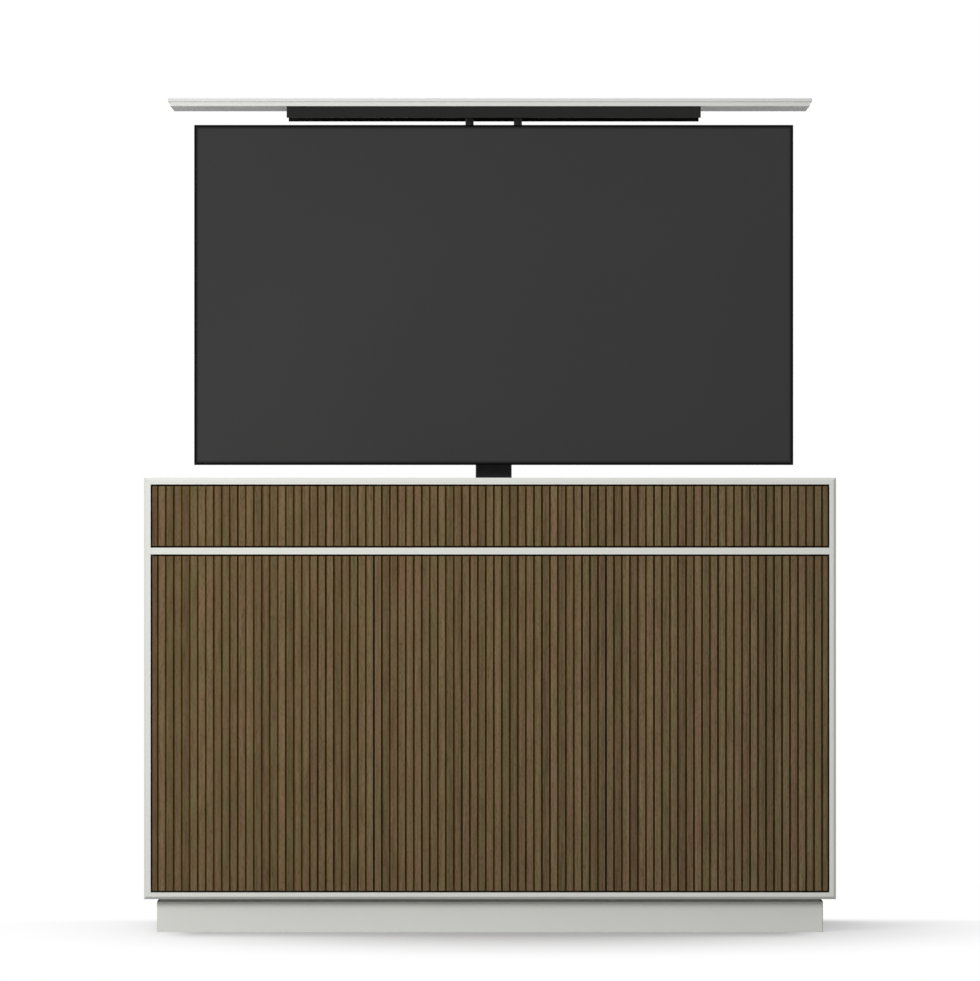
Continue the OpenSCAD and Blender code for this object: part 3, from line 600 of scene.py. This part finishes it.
@dataclass(frozen=True)
class WalnutVeneer(Finish):
    """Sliced walnut, oiled matt: straight grain, darker pores, brown that drifts to olive and red.

    Growth bands are 3 to 5 mm wide, as in the tree. Real pores are 0.2 mm wide and up to 10 mm
    long, which no picture of a whole cabinet can show, so they are drawn nine times as wide.
    """

    red: str = "#684d36"
    rear: str = ""
    leaf: float = 0.44
    band: float = 0.9
    grain: float = 1.25
    flame: float = 0.55
    lean_leaf: float = 0.32
    lean_drift: float = 1.7
    fade: float = 0.22
    band_size: Triple = (5.0 * MM, 5.0 * MM, 2.2)
    grain_size: Triple = (3.2 * MM, 3.2 * MM, 75 * MM)
    flame_size: Triple = (18 * MM, 18 * MM, 140 * MM)
    drift_size: Triple = (15 * MM, 15 * MM, 85 * MM)
    pore_size: Triple = (1.8 * MM, 1.8 * MM, 10 * MM)
    pore_edge: tuple[float, float] = (0.32, 0.5)
    pore_shade: float = 0.6
    pore_depth: float = 0.05 * MM
    spreads: tuple[float, float] = (0.1, -0.05)
    apart: Triple = (31.0, 17.0, 37.0)

    def pattern(self, tree: Tree) -> dict[str, object]:
        """Growth bands, grain, flames and pores that run up each slat, and the tone of its leaf.

        Each leaf reads the noises at a place of its own, which is its three random numbers times
        the metres that leaves lie apart. Brightness is 1, swayed by the leaf's tone, the bands, the
        grain and the flames, and darker in a pore. Saturation falls as it rises, by the fade's share.
        The share of red is a half, swayed by the leaf's own lean and a drift along it.

        Args:
            tree: The material's nodes.

        Returns:
            The shader's colour, roughness and normal.
        """
        mark = tree.add("Attribute", attribute_name="mark").outputs["Vector"]
        tone, lean, _ = tree.add("SeparateXYZ", {0: mark}).outputs
        shift = tree.add("VectorMath", {0: mark, 1: self.apart}, operation="MULTIPLY").outputs[0]
        noises = []
        for size, detail in ((self.band_size, 2.0), (self.grain_size, 4.0), (self.flame_size, 2.0),
                             (self.drift_size, 2.0), (self.pore_size, 2.0)):
            noises.append(tree.add("TexNoise", {"Vector": tree.periods(size, shift), "Scale": 1.0,
                                                "Detail": detail}).outputs["Fac"])
        band, grain, flame, drift, pore = noises
        bright = tree.sway(1.0, (tone, self.leaf), (band, self.band), (grain, self.grain),
                           (flame, self.flame))
        deep, flat = self.pore_edge
        sunk = tree.add("MapRange", {"Value": pore, "From Min": deep, "From Max": flat,
                                     "To Min": self.pore_shade}).outputs[0]
        bright = tree.add("Math", {0: bright, 1: sunk}, operation="MULTIPLY").outputs[0]
        share = tree.sway(0.5, (lean, self.lean_leaf), (drift, self.lean_drift))
        body = tree.add("Mix", {0: share, MIX_A: linear(self.colour), MIX_B: linear(self.red)},
                        data_type="RGBA").outputs[MIX_RESULT]
        if self.rear:
            other = tree.add("Math", {0: tree.facing("Y"), 1: -SQUARE},
                             operation="GREATER_THAN").outputs[0]
            body = tree.add("Mix", {0: other, MIX_A: body, MIX_B: linear(self.rear)},
                            data_type="RGBA").outputs[MIX_RESULT]
        strong = tree.add("Math", {0: bright, 1: -self.fade, 2: 1 + self.fade},
                          operation="MULTIPLY_ADD").outputs[0]
        colour = tree.add("HueSaturation", {"Color": body, "Saturation": strong,
                                            "Value": bright}).outputs[0]
        rough = self.uneven(tree, pore)
        bump = tree.add("Bump", {"Height": pore, "Strength": 0.5,
                                 "Distance": self.pore_depth}).outputs[0]
        return {"Base Color": colour, "Roughness": rough, "Normal": bump}


@dataclass(frozen=True)
class PowderCoat(Finish):
    """Baked powder or enamel on steel and iron: matt, with a fine pebbled skin.

    Real pebbles are about 0.3 mm across. They are drawn twice as coarse, to show at all.
    """

    pebble: float = 0.7 * MM
    pebble_depth: float = 0.03 * MM
    shades: tuple[float, float] = (0.85, 1.15)
    spreads: tuple[float, float] = (-0.08, 0.08)
    edge: float = 0.6 * MM

    def pattern(self, tree: Tree) -> dict[str, object]:
        """Pebbles in the surface, a slightly uneven gloss, and rounded edges.

        Args:
            tree: The material's nodes.

        Returns:
            The shader's colour, roughness and normal.
        """
        noise = tree.add("TexNoise", {"Vector": tree.periods(self.pebble), "Scale": 1.0,
                                      "Detail": 3.0}).outputs["Fac"]
        rough = self.uneven(tree, noise)
        edge = tree.add("Bevel", {"Radius": self.edge}, samples=4).outputs[0]
        bump = tree.add("Bump", {"Height": noise, "Strength": 0.6, "Distance": self.pebble_depth,
                                 "Normal": edge}).outputs[0]
        colour = self.shaded(tree, noise)
        return {"Base Color": colour, "Roughness": rough, "Normal": bump}


@dataclass(frozen=True)
class Metal(Finish):
    """Bare or plated metal with a direction to its surface: rolled, drawn, turned or brushed.

    Real lines are about 0.05 mm apart. They are drawn eight times as coarse, to show at all.
    """

    brush: Triple = (0.4 * MM, 0.4 * MM, 12 * MM)
    brush_depth: float = 0.02 * MM
    cloud: float = 9 * MM
    shades: tuple[float, float] = (0.88, 1.08)
    spreads: tuple[float, float] = (-0.1, 0.1)

    def pattern(self, tree: Tree) -> dict[str, object]:
        """Lines in the gloss and the surface, and a cloudiness of the plating.

        Args:
            tree: The material's nodes.

        Returns:
            The shader's colour, roughness and normal.
        """
        lines = tree.add("TexNoise", {"Vector": tree.periods(self.brush), "Scale": 1.0,
                                      "Detail": 3.0}).outputs["Fac"]
        cloud = tree.add("TexNoise", {"Vector": tree.periods(self.cloud), "Scale": 1.0}).outputs["Fac"]
        rough = self.uneven(tree, lines)
        bump = tree.add("Bump", {"Height": lines, "Strength": 0.3,
                                 "Distance": self.brush_depth}).outputs[0]
        colour = self.shaded(tree, cloud)
        return {"Base Color": colour, "Roughness": rough, "Normal": bump}


@dataclass(frozen=True)
class Moulding(Finish):
    """Moulded plastic with the spark-eroded grain of its tool.

    The real grain is about 0.1 mm. It is drawn eight times as coarse, to show at all.
    """

    grit: float = 0.8 * MM
    grit_depth: float = 0.03 * MM
    shades: tuple[float, float] = (0.92, 1.05)
    spreads: tuple[float, float] = (-0.06, 0.08)

    def pattern(self, tree: Tree) -> dict[str, object]:
        """Grain in the surface, its gloss and its colour.

        Args:
            tree: The material's nodes.

        Returns:
            The shader's colour, roughness and normal.
        """
        grain = tree.add("TexVoronoi", {"Vector": tree.periods(self.grit),
                                        "Scale": 1.0}).outputs["Distance"]
        rough = self.uneven(tree, grain)
        bump = tree.add("Bump", {"Height": grain, "Strength": 0.4,
                                 "Distance": self.grit_depth}).outputs[0]
        colour = self.shaded(tree, grain)
        return {"Base Color": colour, "Roughness": rough, "Normal": bump}


@dataclass(frozen=True)
class ScreenGlass(Finish):
    """Etched and coated anti-glare glass over a dark panel: an even grey with hardly a reflection.

    The real etch is about 0.05 mm. It is drawn ten times as coarse, to show at all.
    """

    etch: float = 0.5 * MM
    panel: float = 0.7
    shades: tuple[float, float] = (0.9, 1.1)
    spreads: tuple[float, float] = (-0.02, 0.02)
    print_shade: float = 0.05

    def pattern(self, tree: Tree) -> dict[str, object]:
        """The etch in the gloss, a broad unevenness of the panel, and a black print along the border.

        Args:
            tree: The material's nodes.

        Returns:
            The shader's colour and roughness.
        """
        etch = tree.add("TexNoise", {"Vector": tree.periods(self.etch), "Scale": 1.0}).outputs["Fac"]
        panel = tree.add("TexNoise", {"Vector": tree.periods(self.panel), "Scale": 1.0,
                                      "Detail": 1.0}).outputs["Fac"]
        mark = tree.add("Attribute", attribute_name="mark").outputs["Vector"]
        border = tree.add("SeparateXYZ", {0: mark}).outputs["X"]
        black = tree.add("MapRange", {"Value": border, "To Min": 1.0,
                                      "To Max": self.print_shade}).outputs[0]
        colour = tree.add("HueSaturation", {"Color": self.shaded(tree, panel), "Value": black}).outputs[0]
        return {"Base Color": colour, "Roughness": self.uneven(tree, etch)}


# Polyurethane lacquer, sprayed on board and cured satin: an even, faintly warm white, softly glossy.
LACQUER = SatinLacquer("satin_lacquer", "#e4e5df", 0.55, specular=0.3)
# The lid's lacquer: a cleaner white than the frame's. Its mesh has round edges of its own.
LID_LACQUER = SatinLacquer("lid_lacquer", "#e4e4e1", 0.55, specular=0.3, edge=0.0)
# The frame's again, with a dark primer on the board's underside: real, and partly painted shade that
# keeps the plinth's shadow deep.
PRIMED_AND_SHADED_LACQUER = SatinLacquer("primed_and_shaded_lacquer", "#e4e5df", 0.55, specular=0.3, primer_and_shade="#38352f")
# Melamine-faced board, black: a real black inside, and partly painted shade that keeps the gaps between
# the fronts as dark as a deep shadow.
MELAMINE_AND_SHADE = SatinLacquer("black_melamine_and_shade", "#1e1e1f", 0.6, specular=0.3, peel=0.9 * MM)
# Walnut veneer, sliced and oiled: matt brown leaves, darker and lighter, that drift to olive and red.
WALNUT = WalnutVeneer("oiled_walnut", "#5f5532", 0.6)
# The same veneer, stained behind the slats and plain elsewhere: each groove is a deep warm line.
WALNUT_PANEL = WalnutVeneer("stained_walnut", "#715e1f", 0.7, specular=0.15, red="#805329",
                            rear="#6e5a42", band=2.0)
# Polyester powder, baked on folded sheet steel: a flat black, broken up by its pebbles.
BLACK_STEEL = PowderCoat("black_powder_coat", "#1d1d1c", 0.6, specular=0.2)
# A satin powder on the lid's posts: dark grey with a soft line of light down each. The grey is painted
# light: lighter than the black steel, to make up for the shade under the lid.
SATIN_STEEL_PAINTED_LIGHT = PowderCoat("satin_powder_painted_light", "#4a4a4c", 0.5, specular=0.3)
# A graphite powder on drawn tube, a shade lighter than the parts that it carries: painted light, which
# makes up for the shade under the screen.
COLUMN_STEEL_PAINTED_LIGHT = PowderCoat("graphite_powder_painted_light", "#4a4a4c", 0.55, specular=0.3)
# Stoving enamel on cast iron: black and a little wet, with rounder highlights than powder.
MOTOR_ENAMEL = PowderCoat("motor_enamel", "#2c2d2f", 0.4)
# Bright zinc plate on screws and pressed steel: pale blue-grey, clouded and half dull.
ZINC = Metal("zinc_plate", "#b4b8bb", 0.38, metallic=1.0)
# Nickel plate on turned pins: a warm bright glint in the dark bays.
NICKEL = Metal("nickel_plate", "#c9c8c2", 0.24, metallic=1.0, spreads=(-0.06, 0.06))
# Black nickel on the pressed hinges: smoky metal, and partly painted shade that keeps the gap under the
# flap dark.
BLACK_NICKEL_AND_SHADE = Metal("black_nickel_and_shade", "#2a2a2c", 0.34, metallic=1.0)
# Bronze nuts, turned: yellow metal with rings from the tool.
BRONZE = Metal("turned_bronze", "#b98d4d", 0.32, metallic=1.0, brush=(0.5 * MM, 0.5 * MM, 0.3 * MM))
# Aluminium, brushed and anodised black: a thin dark rim with a dry sheen along it.
ANODISED = Metal("black_anodised", "#0f0f0f", 0.42, metallic=1.0, brush=(9 * MM, 0.4 * MM, 0.4 * MM))
# Acetal, moulded: milky white and waxy.
ACETAL = Moulding("white_acetal", "#dcdcd4", 0.4, ior=1.48)
# Polyamide, moulded with glass fibre: a dry mid grey.
GREY_PLASTIC = Moulding("grey_polyamide", "#75787a", 0.5, ior=1.53)
# ABS, moulded in an eroded tool: near black, with a grain that takes the shine off.
BLACK_PLASTIC = Moulding("black_abs", "#19191a", 0.5, ior=1.53)
# Glass, etched and coated against reflections, over an unlit panel: even dark grey, not a mirror.
GLASS = ScreenGlass("etched_glass", "#3a3a3a", 0.35, ior=1.52, specular=0.08)


# ------------------------------------------------------------------ sub-assemblies


@dataclass(frozen=True)
class VeneerBundle:
    """The leaves that all the fronts are cut from, one for each column of slats.

    A leaf runs up through a door and the flap above it, so that their tones match. The seed mixes
    light and dark leaves evenly.
    """

    seed: int = 2219
    leaves: int = 100

    def marks(self, columns: Array) -> Array:
        """Three random numbers for each column's leaf. Columns below nought count from the end."""
        return np.random.default_rng(self.seed).random((self.leaves, 3))[columns]


@dataclass
class SlattedFront:
    """One front: upright slats on a backing panel."""

    name: str
    bundle: VeneerBundle = VeneerBundle()
    pitch: float = 19.1 * MM
    groove: float = 4.2 * MM
    centre_slats: int = 29
    arris: float = 1.0 * MM
    end_arris: float = 0.7 * MM
    back_arris: float = 0.3 * MM
    narrowest: float = 3.0 * MM

    def spans(self, low: float, high: float) -> tuple[Array, Array, Array]:
        """Left and right edges of the slats between two edges of the front, and their columns.

        Groove k lies at (k - centre_slats / 2) pitch, and a slat fills the space between two
        grooves, cut off at the edge of the front.

        Args:
            low: The front's left edge.
            high: Its right edge.

        Returns:
            The slats' left edges, their right edges, and the number of the groove on the left of each.
        """
        first = math.floor(low / self.pitch + self.centre_slats / 2) - 1
        last = math.ceil(high / self.pitch + self.centre_slats / 2) + 1
        columns = np.arange(first, last + 1)
        grooves = (columns - self.centre_slats / 2) * self.pitch
        left = np.maximum(grooves[:-1] + self.groove / 2, low)
        right = np.minimum(grooves[1:] - self.groove / 2, high)
        wide = right - left > self.narrowest
        return left[wide], right[wide], columns[:-1][wide]

    def build(self) -> None:
        """Makes the slats and dresses the panel and the hinge cups."""
        low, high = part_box(f"{self.name}_slats")
        left, right, columns = self.spans(low.x, high.x)
        piece = Piece(f"{self.name}_slat_set")
        section = slab(low.z, high.z, self.end_arris)
        radii = [self.arris, self.arris, self.back_arris, self.back_arris]
        for a, b, mark in zip(left, right, self.bundle.marks(columns), strict=True):
            plan = Curve.rounded([(a, low.y), (b, low.y), (b, high.y), (a, high.y)], radii)
            piece.add(carry(plan, section, Along.Z), mark=mark)
        piece.build(self.name, WALNUT, (f"{self.name}_slats",), "walnut_slat")
        WALNUT_PANEL.dress(f"{self.name}_panel")
        # Dark hinges, partly painted shade in the gaps between the fronts.
        BLACK_NICKEL_AND_SHADE.dress(f"{self.name}_hinge_cups")


@dataclass
class Lid:
    """The lid with its lip, its folded carrier and its two posts."""

    lip: float = 8 * MM
    overhang: float = 5 * MM
    corner: float = 2 * MM
    edge: float = 1.0 * MM
    under_edge: float = 0.3 * MM
    sheet: float = 2 * MM
    cut_edge: float = 0.4 * MM
    fold_inside: float = 0.8 * MM
    fold_outside: float = 2.6 * MM
    hem: float = 8 * MM
    hem_cut: float = 6 * MM

    def build(self) -> None:
        """Makes the lid and the carrier, and dresses the posts."""
        low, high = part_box("lid_panel")
        under = high.z - self.lip
        plan = Curve.rectangle((low.x, low.y), (high.x, high.y), self.corner)
        inner, e = self.overhang, self.edge
        line = [(inner + 2 * e, low.z), (inner, low.z), (inner, under), (0, under), (0, high.z),
                (2 * e, high.z)]
        section = Curve.rounded(line, [0, e, self.under_edge, e, e, 0], closed=False)
        lid = Piece("lid_board").add(carry(plan, section, Along.Z))
        lid.build("lid", LID_LACQUER, ("lid_panel",), "lacquer")
        self.carrier().build("lid", BLACK_STEEL, ("lid_carrier",), "black_steel")
        # The posts' grey is painted light, which makes up for the shade under the lid.
        SATIN_STEEL_PAINTED_LIGHT.dress("lid_posts")

    def carrier(self) -> Piece:
        """The folded sheet: web on top, two walls, and hems turned in, cut back at both ends.

        Returns:
            The piece, not yet built.
        """
        low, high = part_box("lid_carrier")
        y0, y1, z0, z1 = low.y, high.y, low.z, high.z
        t, cut, tight, wide = self.sheet, self.cut_edge, self.fold_inside, self.fold_outside
        corners = [(y0, z0), (y0 + t, z0), (y0 + t, z1 - t), (y1 - t, z1 - t), (y1 - t, z0), (y1, z0),
                   (y1, z1), (y0, z1)]
        plan = Curve.rounded(corners, [cut, cut, tight, tight, cut, cut, wide, wide])
        piece = Piece("carrier_channel").add(carry(plan, slab(low.x, high.x, cut), Along.X))
        ends = slab(low.x + self.hem_cut, high.x - self.hem_cut, cut)
        for a, b in ((y0 + t / 2, y0 + self.hem), (y1 - self.hem, y1 - t / 2)):
            piece.add(carry(Curve.rectangle((a, z0), (b, z0 + t), cut), ends, Along.X))
        return piece


@dataclass
class Screen:
    """The television: bezel, glass and rear cover."""

    bezel: float = 3.5 * MM
    corner: float = 1.5 * MM
    edge: float = 0.7 * MM
    border: float = 7.5 * MM
    glass_edge: float = 0.2 * MM

    def build(self) -> None:
        """Makes the bezel and glass, and dresses what is behind them."""
        low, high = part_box("tv_bezel")
        plan = Curve.rectangle((low.x, low.z), (high.x, high.z), self.corner, steps=6)
        across = [(0, high.y), (self.bezel, high.y), (self.bezel, low.y), (0, low.y)]
        ring = Curve.rounded(across, self.edge)
        Piece("bezel_frame").add(carry(plan, ring, Along.Y), ring=True).build(
            "carriage", ANODISED, ("tv_bezel",), "bezel")
        low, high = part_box("tv_screen")
        plan = Curve.rectangle((low.x, low.z), (high.x, high.z), self.corner)
        ease = self.glass_edge
        section = Curve.rounded([(self.border, low.y), (0, low.y), (0, high.y), (ease * 2, high.y)],
                                [0, ease, ease, 0], closed=False, steps=2)
        dark = np.zeros((len(section.points), 3))
        dark[1:, 0] = 1.0
        Piece("screen_glass").add(carry(plan, section, Along.Y), mark=dark).build(
            "carriage", GLASS, ("tv_screen",), "screen_glass")
        BLACK_PLASTIC.dress("tv_rear_cover")
        ZINC.dress("tv_chassis", "vesa_bolts")


@dataclass
class Carcass:
    """The lacquered boards, the shelves and the fittings that stay on them."""

    def build(self) -> None:
        """Dresses every board and fitting."""
        LACQUER.dress("side_panel_left", "side_panel_right", "top_panel", "soundbar_shelf",
                      "plinth_frame", "back_panel", "back_access_panel", "back_rail")
        # The bottom board's underside is dark primer, and partly painted shade over the plinth.
        PRIMED_AND_SHADED_LACQUER.dress("bottom_panel")
        # Black inside, partly painted shade: the gaps between the fronts show dark.
        MELAMINE_AND_SHADE.dress("dividers", "bay_partition", "shelves")
        NICKEL.dress("shelf_pins")
        # Dark hinges, partly painted shade in the gap under the flap.
        BLACK_NICKEL_AND_SHADE.dress("hinge_plates", "hinge_arms")
        ZINC.dress("back_panel_screws", "anchor_bolts")
        GREY_PLASTIC.dress("latch_bodies", "latch_plunger_left", "latch_plunger_centre",
                           "latch_plunger_right", "latch_plunger_flap")


@dataclass
class Lift:
    """The telescopic column, its drive and the mount for the screen."""

    def build(self) -> None:
        """Dresses the column, the drive and the mount."""
        BLACK_STEEL.dress("lift_base_plate", "column_bracket", "mast_head", "tv_mount_frame",
                          "vesa_arms")
        # The column's lighter grey is painted light, for the shade under the screen.
        COLUMN_STEEL_PAINTED_LIGHT.dress("column_outer", "column_middle", "column_inner")
        MOTOR_ENAMEL.dress("lift_gearbox", "lift_motor")
        BLACK_PLASTIC.dress("control_box")
        ACETAL.dress("column_glides_outer", "column_glides_middle", "column_glides_inner")
        ZINC.dress("lower_screw", "upper_screw")
        BRONZE.dress("lower_nut", "upper_nut")


# ------------------------------------------------------------------ studio


@dataclass
class Softbox:
    """One white square lamp, aimed at a point. It doesn't show in the gloss of what it lights."""

    name: str
    place: Triple
    aim: Triple
    size: float
    watts: float

    def build(self) -> None:
        """Makes the lamp."""
        data = bpy.data.lights.new(self.name, "AREA")
        data.shape = "SQUARE"
        data.size = self.size
        data.energy = self.watts
        lamp = bpy.data.objects.new(self.name, data)
        lamp.location = self.place
        aim = Vector(self.aim) - Vector(self.place)
        lamp.rotation_euler = aim.to_track_quat("-Z", "Y").to_euler()
        lamp.visible_glossy = False
        bpy.context.scene.collection.objects.link(lamp)


@dataclass
class Studio:
    """A white floor and world, the lamps and the camera.

    The sheet bounces light in one colour and shows the eye another. Its shadow's oval reaches out
    by near on the left and in front, and by far on the right and behind.
    """

    floor_half: float = 30.0
    ambient: float = 0.51
    bounce: str = "#a5a5a5"
    paper: str = "#d1d1d1"
    shadow_centre: tuple[float, float] = (0.06, 0.12)
    shadow_near: tuple[float, float] = (1.37, 1.52)
    shadow_far: tuple[float, float] = (1.49, 0.28)
    shadow_core: float = 0.117
    contact_hold: float = 0.85
    contact_reach: float = 0.27
    contact_end: float = 0.115
    lens_mm: float = 276.8
    film_mm: float = 36.0
    clip: tuple[float, float] = (0.1, 200.0)
    camera_back: float = 18.0
    camera_height: float = 1.0555
    lamps: tuple[Softbox, ...] = (
        Softbox("key_softbox", place=(-1.7, -3.6, 2.4), aim=(0.0, -0.3, 0.65), size=1.5, watts=91.5),
        Softbox("back_softbox", place=(-1.2, 2.8, 4.0), aim=(0.0, 0.0, 0.0), size=2.5, watts=105.0),
    )

    def build(self) -> None:
        """Makes the floor, the world, the lamps and the camera."""
        self.floor()
        self.world()
        for lamp in self.lamps:
            lamp.build()
        self.camera()

    @staticmethod
    def seen(tree: Tree) -> bpy.types.NodeSocket:
        """Tells the rays that should see white from those that carry light.

        Args:
            tree: The nodes to add to.

        Returns:
            One for a ray that the eye, a gloss or a glass sends out, and nought for the rest.
        """
        path = tree.add("LightPath").outputs
        both = tree.add("Math", {0: path["Is Camera Ray"], 1: path["Is Glossy Ray"]},
                        operation="MAXIMUM").outputs[0]
        return tree.add("Math", {0: both, 1: path["Is Transmission Ray"]},
                        operation="MAXIMUM").outputs[0]

    def fade(self, tree: Tree) -> bpy.types.NodeSocket:
        """How white the sheet has become: little at the plinth's front and one past an oval.

        With c the oval's centre, each of x and y counts as the larger of (p - c) / far and
        (c - p) / near. The length of that pair rises from the core's value to one. Before and behind
        the plinth this is held back, from the hold's share at its face to none at the contact's reach.

        Args:
            tree: The floor's nodes.

        Returns:
            The share of white.
        """
        place = tree.add("TexCoord").outputs["Object"]
        sides = []
        for reach, sign in ((self.shadow_far, 1.0), (self.shadow_near, -1.0)):
            scale = (sign / reach[0], sign / reach[1], 0.0)
            shift = (-self.shadow_centre[0] * scale[0], -self.shadow_centre[1] * scale[1], 0.0)
            sides.append(tree.add("VectorMath", {0: place, 1: scale, 2: shift},
                                  operation="MULTIPLY_ADD").outputs[0])
        pair = tree.add("VectorMath", dict(enumerate(sides)), operation="MAXIMUM").outputs[0]
        length = tree.add("VectorMath", {0: pair}, operation="LENGTH").outputs["Value"]
        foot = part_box("plinth_frame")[0]
        away = tree.add("VectorMath", {0: place}, operation="ABSOLUTE").outputs[0]
        x, y, _ = tree.add("SeparateXYZ", {0: away}).outputs
        steps = []
        for value, start, end, low, high in (
                (length, self.shadow_core, 1.0, 0.0, 1.0),
                (x, -foot.x - self.contact_end, -foot.x, 1.0, 0.0),
                (y, -foot.y, self.contact_reach - foot.y, -self.contact_hold, 0.0)):
            steps.append(tree.add("MapRange", {"Value": value, "From Min": start, "From Max": end,
                                               "To Min": low, "To Max": high},
                                  interpolation_type="SMOOTHSTEP").outputs[0])
        oval, within, close = steps
        held = tree.add("Math", {0: within, 1: close, 2: 1.0}, operation="MULTIPLY_ADD").outputs[0]
        return tree.add("Math", {0: oval, 1: held}, operation="MULTIPLY").outputs[0]

    def floor(self) -> None:
        """A white paper sheet. It keeps the shadow, and past that nothing tells it from the world."""
        h = self.floor_half
        mesh = bpy.data.meshes.new("floor")
        mesh.from_pydata([(-h, -h, 0), (h, -h, 0), (h, h, 0), (-h, h, 0)], [], [(0, 1, 2, 3)])
        floor = bpy.data.objects.new("floor", mesh)
        bpy.context.scene.collection.objects.link(floor)
        material = bpy.data.materials.new("paper_floor")
        tree = Tree(material)
        seen = self.seen(tree)
        paper = tree.add("Mix", {0: seen, MIX_A: linear(self.bounce), MIX_B: linear(self.paper)},
                         data_type="RGBA").outputs[MIX_RESULT]
        white = tree.add("Math", {0: self.fade(tree), 1: seen}, operation="MULTIPLY").outputs[0]
        diffuse = tree.add("BsdfDiffuse", {"Color": paper}).outputs[0]
        light = tree.add("Emission", {"Strength": 1.0}).outputs[0]
        both = tree.add("MixShader", {0: white, 1: diffuse, 2: light}).outputs[0]
        tree.add("OutputMaterial", {"Surface": both})
        mesh.materials.append(material)

    def world(self) -> None:
        """White to the eye and in reflections, and a plain soft light on everything else."""
        world = bpy.data.worlds.new("studio")
        bpy.context.scene.world = world
        tree = Tree(world)
        strength = tree.add("MapRange", {"Value": self.seen(tree), "To Min": self.ambient}).outputs[0]
        shade = tree.add("Background", {"Color": linear("#ffffff"), "Strength": strength}).outputs[0]
        tree.add("OutputWorld", {"Surface": shade})

    def camera(self) -> None:
        """A long lens square to the front, at about the height of the cabinet's top."""
        front = CAD_BOX[0].y
        data = bpy.data.cameras.new("camera")
        data.lens = self.lens_mm
        data.sensor_width = self.film_mm
        data.clip_start, data.clip_end = self.clip
        camera = bpy.data.objects.new("camera", data)
        camera.location = (0.0, front - self.camera_back, self.camera_height)
        camera.rotation_euler = (math.pi / 2, 0.0, 0.0)
        bpy.context.scene.collection.objects.link(camera)
        bpy.context.scene.camera = camera


def main() -> None:
    """Builds the studio and the cabinet."""
    logging.basicConfig(level=logging.INFO, format="%(name)s %(message)s")
    bpy.context.scene.view_settings.view_transform = "Standard"
    Studio().build()
    Carcass().build()
    for name in ("door_left", "door_centre", "door_right", "flap"):
        SlattedFront(name).build()
    Lift().build()
    Screen().build()
    Lid().build()


if __name__ == "__main__":
    main()
